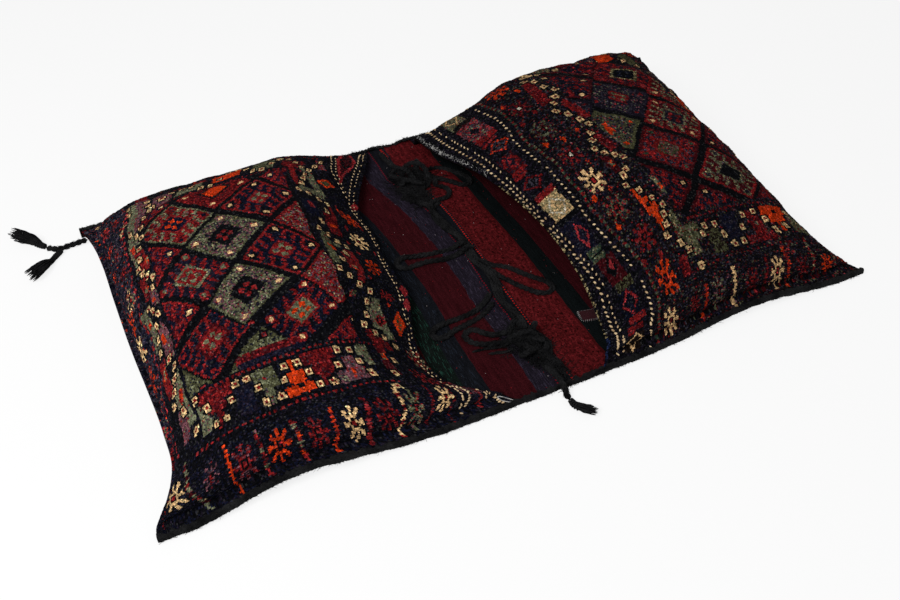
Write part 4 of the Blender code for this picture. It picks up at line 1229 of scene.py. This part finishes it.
def wrapped_edge(name, side, replaced):
    """The wrapping along one long side, as a lofted roll with a ridge for each turn of yarn."""
    left, right = -float(end_at(LEFT, float(side))), float(end_at(RIGHT, float(side)))
    stations = np.linspace(left, right, round((right - left) / WRAP_STEP) + 1)
    corners = -float(mouth_at(LEFT, float(side))), float(mouth_at(RIGHT, float(side)))
    stack = np.maximum(ease((corners[0] + 0.034 - stations) / 0.026), ease((stations - corners[1] + 0.034) / 0.026))
    cloth = KILIM_THICK + 0.0028 * stack
    skin = BINDING_GAP + WRAP_WALL
    steps = (0.0, 0.17, 0.34, 0.51, 0.68, 0.85)
    rounded = [skin * (0.25 + 0.75 * math.sin(math.pi / 2 * min(1.0, 1.2 * t))) for t in steps]
    nose = [math.pi / 2 - math.pi * k / 8 for k in range(9)]
    ring = [(WRAP_LAP * (1 - t), 1.0, above, 0.7) for t, above in zip(steps, rounded)]
    ring += [(-skin * math.cos(turn), 0.5 + 0.5 * math.sin(turn), skin * math.sin(turn), 1.0) for turn in nose]
    ring += [(BINDING_LAP * (1 - t), 0.0, -above, 0.15) for t, above in zip(steps[::-1], rounded[::-1])]
    ring += [(BINDING_LAP, 0.0, -BINDING_GAP, 0.0), (0.0, 0.0, -BINDING_GAP, 0.0), (0.0, 1.0, BINDING_GAP, 0.0),
             (WRAP_LAP, 1.0, BINDING_GAP, 0.0)]
    slack = sum(size * ripples(stations, side, pitch, number + side) for size, pitch, number in (
        (0.0011, 0.045, 81), (0.0009, 0.016, 85), (0.0005, 0.006, 89)
    ))
    ragged = 1 + 0.5 * ripples(stations, side, 0.011, 93 + side) + 0.35 * ripples(stations, side, 0.004, 96 + side)
    points, lay, around = [], [], 0.0
    for number, (inward, share, above, shown) in enumerate(ring):
        reach = inward * ragged if share == 1.0 and inward > 0 else inward
        y = side * (half_width(stations, side) - reach)
        on_cloth = side * (half_width(stations, side) - np.maximum(reach, 0.0))
        height = rest_height(stations, on_cloth) + share * cloth + above
        if number:
            around += math.hypot(inward - ring[number - 1][0], 0.007 * (share - ring[number - 1][1]))
        turn = np.pi * (stations - 0.6 * around) / WRAP_PITCH
        proud = shown * (0.0010 * np.abs(np.sin(turn)) ** 0.7 - 0.0005 + slack)
        out = max(0.0, 1 - max(inward, 0.0) / 0.004) * (0.3 + 0.7 * (1 - abs(2 * share - 1)))
        up = (1.0 if share > 0.5 else -0.3 if share < 0.5 else 0.0) * (1 - 0.6 * out)
        points.append(np.stack([stations, y + side * proud * out, np.maximum(height + proud * up, 0.0)], -1))
        lay.append(np.stack([stations, np.full(len(stations), around)], -1))
    points, lay = np.stack(points, 1), np.stack(lay, 1)
    faces = tube_faces(len(stations), len(ring))
    if side > 0:
        faces = [face[::-1] for face in faces]
    draw = np.random.default_rng(86 + side)
    yarns = [(points.reshape(-1, 3), faces, lay.reshape(-1, 2))]
    for _ in range(EDGE_HAIRS):
        here = draw.integers(2, len(stations) - 8)
        spot = points[here, draw.integers(5, 14)]
        reach = np.linspace(-0.0006, draw.uniform(0.0008, 0.0042), 4)[:, None]
        drift = np.array((draw.uniform(-1.6, 1.6), side * draw.uniform(0.2, 1.0), draw.uniform(-0.2, 0.7)))
        curl = np.array((draw.normal(), draw.normal(), 0.0)) * 60.0
        hair = spot + reach * drift + reach**2 * curl
        hair[:, 2] = np.maximum(hair[:, 2], 0.0002)
        yarns.append(yarn(hair, draw.uniform(0.00014, 0.00026), 3))
    yarn_piece(name, *gathered(yarns), replaced=replaced)


goat_hair = hair_finish()
wrapped_edge("near_wrapped_edge", -1, "near_side_binding")
wrapped_edge("far_wrapped_edge", 1, "far_side_binding")

# Closing braid
# A flat three-strand braid of goat hair that laces the mouths shut. It lies undone along the
# bridge: knotted at the far side and the near one, with loops let out, and ends in a tassel.
BRAID = 0.008
# A braid is flatter than it is wide, so it lies lower than a round cord
BRAID_DROP = 0.0011
STRAND_STEP = 0.0012
HAIRS_A_METRE = 1500
KNOT_HAIRS = 620
# Routes of the braid's lengths, as x, y and z
LEAD_ROUTE = """
    -16 288 15, -13 276 10.5, -10 262 8.5, -7 248 9, -2 234 12
"""
MIDDLE_ROUTE = """
    38 164 10, 50 156 8.2, 53 144 8, 46 133 8, 30 128 8, 13 121.5 8, 4 106 8, 4 84 8, 9 60 8, 15 36 8, 18 12 8,
    16 -12 8, 17 -36 8, 20 -58 8, 22 -80 8, 19 -102 8, 13 -123 8, 14 -144 8, 17 -165 8, 16 -184 10,
    13 -196 12.5
"""
END_ROUTE = """
    9 -254 11, 10 -266 9.8, 9 -278 11.8, 10 -288 14.9, 11 -298 16, 12 -308 15.6, 12 -318 12, 11 -326 7.5,
    11 -334 5.5
"""
FAR_LOOP_ROUTE = """
    42 213 9, 54 214 8, 67 208 8, 80 193 8, 91 177 8, 98 160 8, 93 148 8, 81 149 8, 70 162 8, 59 175 8,
    48 185 8.5, 41 190 9
"""
LEFT_LOOP_ROUTE = """
    20 6 15, 12 7.5 16.5, 4 8.2 13.5, -2 8.5 9.8, -8 9 8, -28 11 8, -48 14 8, -68 19 8, -86 23 8, -97 17 8,
    -98 7 8, -88 -1 8, -70 -1 8, -50 -2 8, -30 -7 8, -10 -8 8, 0 -8 11, 10 -6 16, 20 -5 16.5, 28 -6 11
"""
RIGHT_LOOP_ROUTE = """
    22 -38 14, 28 -45 11, 34 -52 8.2, 46 -60 8, 59 -73 8, 70 -90 8, 82 -106 8, 94 -122 8, 96 -136 8, 86 -143 8,
    73 -138 8, 61 -125 8, 50 -108 8, 41 -92 8, 34 -79 8.2, 28 -68 11.5, 21 -58 15
"""
NEAR_LOOP_ROUTE = """
    6 -105 8, -6 -116 8, -24 -127 8, -44 -133 8, -64 -134 8, -84 -134 8, -101 -138 8, -110 -147 8, -105 -157 8,
    -92 -158 8, -76 -153 8, -56 -150 8, -36 -146 8, -16 -137 8, 1 -125 8
"""
CURLED_LOOP_ROUTE = """
    -16 -208 10, -28 -203 8, -42 -199 8, -56 -192 8, -66 -181 8, -68 -169 8, -59 -162 8, -48 -166 8, -40 -176 8,
    -29 -185 8, -17 -188 8.5, -9 -190 9.5
"""
FAR_KNOT = (0.006, 0.200, 0.0165), (0.031, 0.033, 0.0125)
NEAR_KNOT = (0.006, -0.226, 0.0160), (0.024, 0.0265, 0.0120)
# Middle line of a tassel, as x, y, z and its radius there
NEAR_TASSEL = """
    11 -335.3 5.5 4.1, 11.8 -344 5.7 5, 18.5 -355 7.2 6.5, 26.5 -364 8.2 7.5, 33 -370 8.8 8
"""


def along_route(route, step, extra=()):
    """Points a step apart on the smooth curve through a route, how far along each is, and what
    else is given at the route's points."""
    route = np.array(route)
    known = run_along(route)
    at = np.linspace(0.0, known[-1], max(6, math.ceil(known[-1] / step) + 1))
    return smooth(known, route, at), at, [smooth(known, values, at) for values in extra]


def plaited(path, run, width, seed):
    """Three strands plaited flat along a path, with loose hairs that stand out of them."""
    across, up = sides_of(path)
    draw = np.random.default_rng(seed)
    yarns = []
    swell = 1 + 0.06 * ripples(run, 0.0, 0.03, seed)
    taper = np.clip(np.minimum(run, run[-1] - run) / 0.004, 0.35, 1.0)
    for strand in range(3):
        phase = 2 * np.pi * (run / (3.2 * width) + strand / 3)
        offset = across * (0.31 * width * swell * np.sin(phase))[:, None]
        offset += up * (0.13 * width * np.sin(2 * phase))[:, None]
        yarns.append(yarn(path + offset * taper[:, None], 0.265 * width * swell * taper, 10, 0.37 * strand))
    for _ in range(round(run[-1] * HAIRS_A_METRE)):
        here = draw.integers(1, max(2, len(path) - 9))
        part = slice(here, here + min(len(path) - here, draw.integers(5, 9)))
        turn = draw.uniform(-0.3, np.pi + 0.3)
        out = np.linspace(0.40, draw.uniform(0.58, 0.80), part.stop - here) * width
        bow = math.cos(turn) * across[part] * 1.1 + max(math.sin(turn), -0.2) * up[part] * 0.8
        yarns.append(yarn((path[part] + bow * out[:, None])[::2], 0.00016, 3))
    return gathered(yarns)


def read_path(path, known, at):
    """Points of a path, straight between those known."""
    return np.stack([np.interp(at, known, path[:, i]) for i in range(3)], -1)


def crossing(path, run, width, seed):
    """The braid doubled: after its hook, two lengths lie side by side and cross over now and then."""
    across, _ = sides_of(path)
    beside = ease((run - 0.045) / 0.020)
    turn = 2 * np.pi * (run - 0.055) / 0.17
    lengths = []
    for sign in (1, -1):
        shift = across * (sign * 0.0037 * np.cos(turn) * beside)[:, None]
        shift[:, 2] += np.maximum(sign * np.sin(turn), 0.0) * 0.0055 * beside
        kept = slice(0 if sign > 0 else int(np.searchsorted(run, 0.060)), None)
        lengths.append(plaited((path + shift)[kept], run[kept] - run[kept][0], width, seed + sign))
    return gathered(lengths)


def laid_braid(name, route, replaced, seed, width=BRAID, lay=plaited):
    """A length of the braid as a free cord, lying along its route."""
    path, run, _ = along_route([(x, y, z - BRAID_DROP) for x, y, z in measures(route)], STRAND_STEP)
    braid = yarn_piece(name, *lay(path, run, width, seed), replaced=replaced)
    if lay is crossing:
        width *= 1.9
    tuple(path[0])


def matted(lumps, seed):
    """Loose goat hair over lumps, each (x, y, half length, half width, height), above the kilim."""
    draw = np.random.default_rng(seed)
    yarns = []
    size = np.array([lump[2] * lump[3] for lump in lumps])
    for _ in range(KNOT_HAIRS):
        x0, y0, wide, deep, _ = lumps[draw.choice(len(lumps), p=size / size.sum())]
        out, turn = math.sqrt(draw.uniform(0.0, 1.0)), draw.uniform(0, 2 * np.pi)
        heading = draw.uniform(0, 2 * np.pi) + np.cumsum(draw.normal(0, 0.30, 14))
        step = draw.uniform(0.0009, 0.0024)
        x = x0 + wide * out * math.cos(turn) + np.cumsum(np.cos(heading)) * step
        y = y0 + deep * out * math.sin(turn) + np.cumsum(np.sin(heading)) * step
        height = np.zeros(14)
        for x1, y1, wide, deep, high in lumps:
            under = np.clip(1 - ((x - x1) / wide) ** 2 - ((y - y1) / deep) ** 2, 0, 1)
            height = np.maximum(height, high * np.sqrt(under))
        z = 0.0058 + height + draw.uniform(-0.0010, 0.0012) + 0.0006 * np.sin(heading * 3)
        yarns.append(yarn(np.stack([x, y, z], -1), draw.uniform(0.00018, 0.00050), 3))
    return yarns


def tied_knot(name, place, turns, seed, replaced, lumps, strands):
    """A lump of the braid knotted on itself, with matted hair and strands that come out of it."""
    centre, half = place
    t = np.linspace(0.0, 2 * np.pi, 360)
    draw = np.random.default_rng(seed)
    slips = draw.uniform(0.0, 2 * np.pi, 6)
    reach = [size - 0.0020 for size in half[:2]] + [half[2] - 0.0030]
    path = np.stack([
        centre[k] + reach[k] * (most * np.sin(turns[k] * t + slips[k]) + rest * np.sin((5 - k) * t + slips[k + 3]))
        for k, (most, rest) in enumerate(((0.80, 0.20), (0.82, 0.18), (0.80, 0.20)))
    ], -1)
    run = run_along(path)
    at = np.linspace(0.0, run[-1], round(run[-1] / STRAND_STEP))
    yarns = [plaited(read_path(path, run, at), at, BRAID, seed)] + matted(measures(lumps), seed + 100)
    for number, (width, route) in enumerate(strands):
        path, run, _ = along_route(measures(route), STRAND_STEP)
        yarns.append(plaited(path, run, width, seed + 200 + number))
    yarn_piece(name, *gathered(yarns), replaced=replaced)


def tassel(name, axis, count, seed, replaced):
    """A tassel: a wrapped neck, and a skirt of loose yarns that lies on the floor."""
    axis = measures(axis)
    path, run, (spread,) = along_route([spot[:3] for spot in axis], 0.0022, ([spot[3] for spot in axis],))
    across, up = sides_of(path)
    draw = np.random.default_rng(seed)
    yarns = []
    for _ in range(count):
        out, turn = math.sqrt(draw.uniform(0.02, 0.95)), draw.uniform(0, 2 * np.pi)
        last = round(len(path) * draw.uniform(0.80, 1.0))
        wave = 0.0005 * ripples(run, turn * 3, 0.012, int(draw.integers(1, 9999)))
        swing = turn + draw.uniform(-0.5, 0.5) * run / run[-1]
        spot = path + (across * np.cos(swing)[:, None] + up * np.sin(swing)[:, None]) * (spread * out * 0.9)[:, None]
        spot += across * wave[:, None]
        thick = draw.uniform(0.00045, 0.00075)
        spot[:, 2] = np.maximum(spot[:, 2], thick)
        radius = np.full(last, thick)
        radius[-2:] *= (0.8, 0.45)
        yarns.append(yarn(spot[:last], radius, 5, draw.uniform(0, 3)))
    for turn in range(4):
        middle = 1.5 + 1.6 * turn
        ring = np.linspace(0, 2 * np.pi, 17)
        here = np.clip(middle + ring / 4, 0, len(path) - 1)
        spot = read_path(path, np.arange(len(path)), here)
        size = np.interp(here, np.arange(len(path)), spread)[:, None]
        low = int(middle)
        spot += (across[low] * np.cos(ring)[:, None] + up[low] * np.sin(ring)[:, None]) * (size - 0.0004)
        spot[:, 2] = np.maximum(spot[:, 2], 0.0008)
        yarns.append(yarn(spot, 0.0008, 6))
    return yarn_piece(name, *gathered(yarns), replaced=replaced)


# Matted lumps of the knots (x, y, half length, half width, height), and strands out of them (width in
# metres, route)
FAR_LUMPS = """
    4 202 30 30 16, -8 170 26 26 10, 0 142 20 22 7, 30 190 16 16 8
"""
NEAR_LUMPS = """
    6 -224 27 27 15, 12 -252 20 26 9, 0 -196 16 16 7, 20 -275 14 20 8, 26 -292 11 14 7
"""
FAR_STRANDS = (
    (0.008, "-2 190 12, -14 176 8.5, -20 160 7.5, -14 146 7.5, -4 134 8, 2 122 11, 4 108 11"),
    (0.0075, "20 176 12, 10 162 9.5, -6 154 11, -18 166 10, -20 182 8.5, -8 196 11"),
    (0.0075, "30 206 12, 40 198 8.5, 44 184 7.5, 40 172 7.5, 36 164 8"),
    (0.0065, "20 160 8, 8 150 7.5, 4 138 7.5, 12 128 8"),
)
NEAR_STRANDS = (
    (0.008, "14 -244 10, 22 -256 8.5, 20 -270 8.5, 12 -282 12"),
    (0.0075, "20 -205 12, 30 -216 8.5, 34 -232 8, 28 -248 8.5, 18 -258 9"),
    (0.0042, "-14 -222 10, -26 -222 7, -40 -218 6.5, -52 -214 6.2"),
    (0.0036, "-12 -210 10, -30 -210 6.8, -50 -204 6.2, -72 -200.5 6"),
    (0.0075, "-10 -206 10, -6 -192 8, 4 -180 8.5, 12 -172 10"),
)
tied_knot("far_braid_knot", FAR_KNOT, (2, 3, 5), 31, "far_knot", FAR_LUMPS, FAR_STRANDS)
tied_knot("near_braid_knot", NEAR_KNOT, (3, 2, 5), 32, "near_knot", NEAR_LUMPS, NEAR_STRANDS)
end_tassel = tassel("braid_end_tassel", NEAR_TASSEL, 70, 33, "near_tassel")
laid_braid("braid_lead", LEAD_ROUTE, "lead_braid", 34)
laid_braid("braid_middle", MIDDLE_ROUTE, "middle_braid", 35, lay=crossing)
laid_braid("braid_far_loop", FAR_LOOP_ROUTE, "far_loop", 36)
laid_braid("braid_left_loop", LEFT_LOOP_ROUTE, "left_loop", 37)
laid_braid("braid_right_loop", RIGHT_LOOP_ROUTE, "right_loop", 38)
laid_braid("braid_near_loop", NEAR_LOOP_ROUTE, "left_near_loop", 39)
laid_braid("braid_curled_loop", CURLED_LOOP_ROUTE, "curled_loop", 40)
laid_braid("braid_end", END_ROUTE, "end_braid", 41)

# Corner cord
# A short braid sewn to the left end's far corner, with a goat-hair tassel on each of its two ends.
CORNER_CORD = 0.009
CORNER_ROUTE = """
    -526 283 8.2, -533.5 283.8 7.5, -544 285 5.8, -556 284.5 5.1, -566 283.5 5, -575 285.5 5, -583 290.5 5,
    -589.5 296.5 5
"""
OUTER_TASSEL = """
    -590.4 297.4 5.2 4.5, -596.5 304 6 5.4, -603.5 314 9.2 8.5, -612 322.5 11.2 10.5, -623 332 12.8 12.2,
    -634 341 13.8 13.2
"""
INNER_TASSEL = """
    -569 276.5 5 4.5, -579 266.5 5.2 4.5, -588 257 5.6 5, -594 251 8.6 8, -603 242.5 11.2 10.5,
    -613 233 12.6 12, -622 225 13.2 12.6
"""
outer_skirt = tassel("corner_outer_tassel", OUTER_TASSEL, 120, 51, "outer_corner_tassel")
inner_skirt = tassel("corner_inner_tassel", INNER_TASSEL, 120, 52, "inner_corner_tassel")
laid_braid("corner_braid", CORNER_ROUTE, "corner_cord", 53, CORNER_CORD)

# Woven tab
# A small plain tab of dark ribbon, tacked to the kilim under the lip of the right mouth.
TAB_SIZE = (0.026, 0.022, 0.0016)
TAB_PLACE = (0.1150, -0.2080)
TAB_TURN = math.radians(-12.0)
TAB_GAP = 0.0004


def ribbon_finish():
    """Plain dark ribbon, woven fine."""
    finish, shader, spot = wool("plain_ribbon", 0.7, 0.1)
    weave = textured(finish, "ShaderNodeTexWave", (spot, "Object"), Scale=260.0)
    weave.bands_direction = "Y"
    colour = graded(finish, (weave, "Fac"), (0.0, dyed(22, 9, 13)), (1.0, dyed(58, 20, 26)))
    colour = varied(finish, colour, (spot, "Object"), 300.0, 0.7, 1.2)
    link(finish, colour, (shader, "Base Color"))
    roughen(finish, shader, (weave, "Fac"), 0.4, 0.0003)
    return finish


bpy.ops.object.select_all(action="DESELECT")
bpy.ops.mesh.primitive_grid_add(x_subdivisions=16, y_subdivisions=14, size=1)
tab = bpy.context.object
tab.name = tab.data.name = "woven_tab"
tab.data.transform(Matrix.Diagonal((*TAB_SIZE[:2], 1.0, 1.0)))
for vertex in tab.data.vertices:
    x, y = vertex.co.x / TAB_SIZE[0], vertex.co.y / TAB_SIZE[1]
    vertex.co.z = 0.0004 * math.sin(5 * x + 1) * math.cos(4 * y) + 0.0009 * max(0.0, -x) ** 2
wall = tab.modifiers.new("thickness", "SOLIDIFY")
wall.thickness, wall.offset = 0.0010, 0.0
bpy.ops.object.modifier_apply(modifier=wall.name)
tab.data.transform(
    Matrix.Translation((*TAB_PLACE, KILIM_THICK + TAB_GAP + TAB_SIZE[2] / 2)) @ Matrix.Rotation(TAB_TURN, 4, "Z")
)
bpy.ops.object.shade_smooth()
finished(tab, ribbon_finish(), "plain_tab")
# Stitches over the tab's left and near edges: where each starts, and its way inward
tack = []
left_edge = [(-0.5, t, 1.0, 0.3) for t in np.linspace(-0.42, 0.42, 7)]
near_edge = [(t, -0.5, 0.3, 1.0) for t in np.linspace(-0.40, 0.40, 8)]
steps = np.array((-0.0010, 0.0006, 0.0022))
for across, along, inward, aside in left_edge + near_edge:
    flat = np.stack([across * TAB_SIZE[0] + steps * inward, along * TAB_SIZE[1] + steps * aside], -1)
    x = TAB_PLACE[0] + flat[:, 0] * math.cos(TAB_TURN) - flat[:, 1] * math.sin(TAB_TURN)
    y = TAB_PLACE[1] + flat[:, 0] * math.sin(TAB_TURN) + flat[:, 1] * math.cos(TAB_TURN)
    tack.append(yarn(np.stack([x, y, KILIM_THICK + np.array((0.0010, 0.0030, 0.0022))], -1), 0.00036, 5))
yarn_piece("tab_stitches", *gathered(tack), white_yarn)

# Studio
# A pale floor that keeps the shadow, a white surround, and soft light from above and to the left.
bpy.ops.mesh.primitive_plane_add(size=14)
floor = bpy.context.object
floor.name = "studio_floor"


def paper_finish():
    """White paper: seen as white, and shaded where the bag keeps the light off."""
    finish = bpy.data.materials.new("white_paper")
    finish.use_nodes = True
    shader = finish.node_tree.nodes["Principled BSDF"]
    shader.inputs["Base Color"].default_value = (0.82, 0.82, 0.82, 1.0)
    shader.inputs["Roughness"].default_value = 0.9
    shader.inputs["Specular IOR Level"].default_value = 0.1
    glow = node(finish, "ShaderNodeEmission")
    rays = node(finish, "ShaderNodeLightPath")
    both = node(finish, "ShaderNodeMixShader")
    link(finish, of_both(finish, (rays, "Is Camera Ray"), 0.82), (both, "Fac"))
    link(finish, (shader, "BSDF"), (both, 1))
    link(finish, (glow, "Emission"), (both, 2))
    link(finish, (both, "Shader"), (finish.node_tree.nodes["Material Output"], "Surface"))
    return finish


floor.data.materials.append(paper_finish())
world = bpy.data.worlds.new("white_surround")
bpy.context.scene.world = world
world.use_nodes = True
sky = world.node_tree.nodes["Background"]
sky.inputs["Color"].default_value = (1.0, 1.0, 1.0, 1.0)
rays = node(world, "ShaderNodeLightPath")
either = rays, "Is Camera Ray"
for ray in ("Is Glossy Ray", "Is Transmission Ray"):
    either = of_both(world, either, (rays, ray), "MAXIMUM")
level_of = node(world, "ShaderNodeMapRange", To_Min=0.36, To_Max=1.0)
link(world, either, (level_of, "Value"))
link(world, (level_of, "Result"), (sky, "Strength"))
for name, size, power, place in (
    ("key_light", 1.1, 48.0, (-1.5, -0.7, 1.9)), ("fill_light", 2.0, 8.0, (1.2, -1.8, 1.9)),
):
    lamp = bpy.data.lights.new(name, "AREA")
    lamp.size, lamp.energy = size, power
    stand = bpy.data.objects.new(name, lamp)
    bpy.context.scene.collection.objects.link(stand)
    stand.location = place
    stand.rotation_euler = (-Vector(place)).to_track_quat("-Z", "Y").to_euler()
bpy.context.scene.view_settings.view_transform = "Standard"
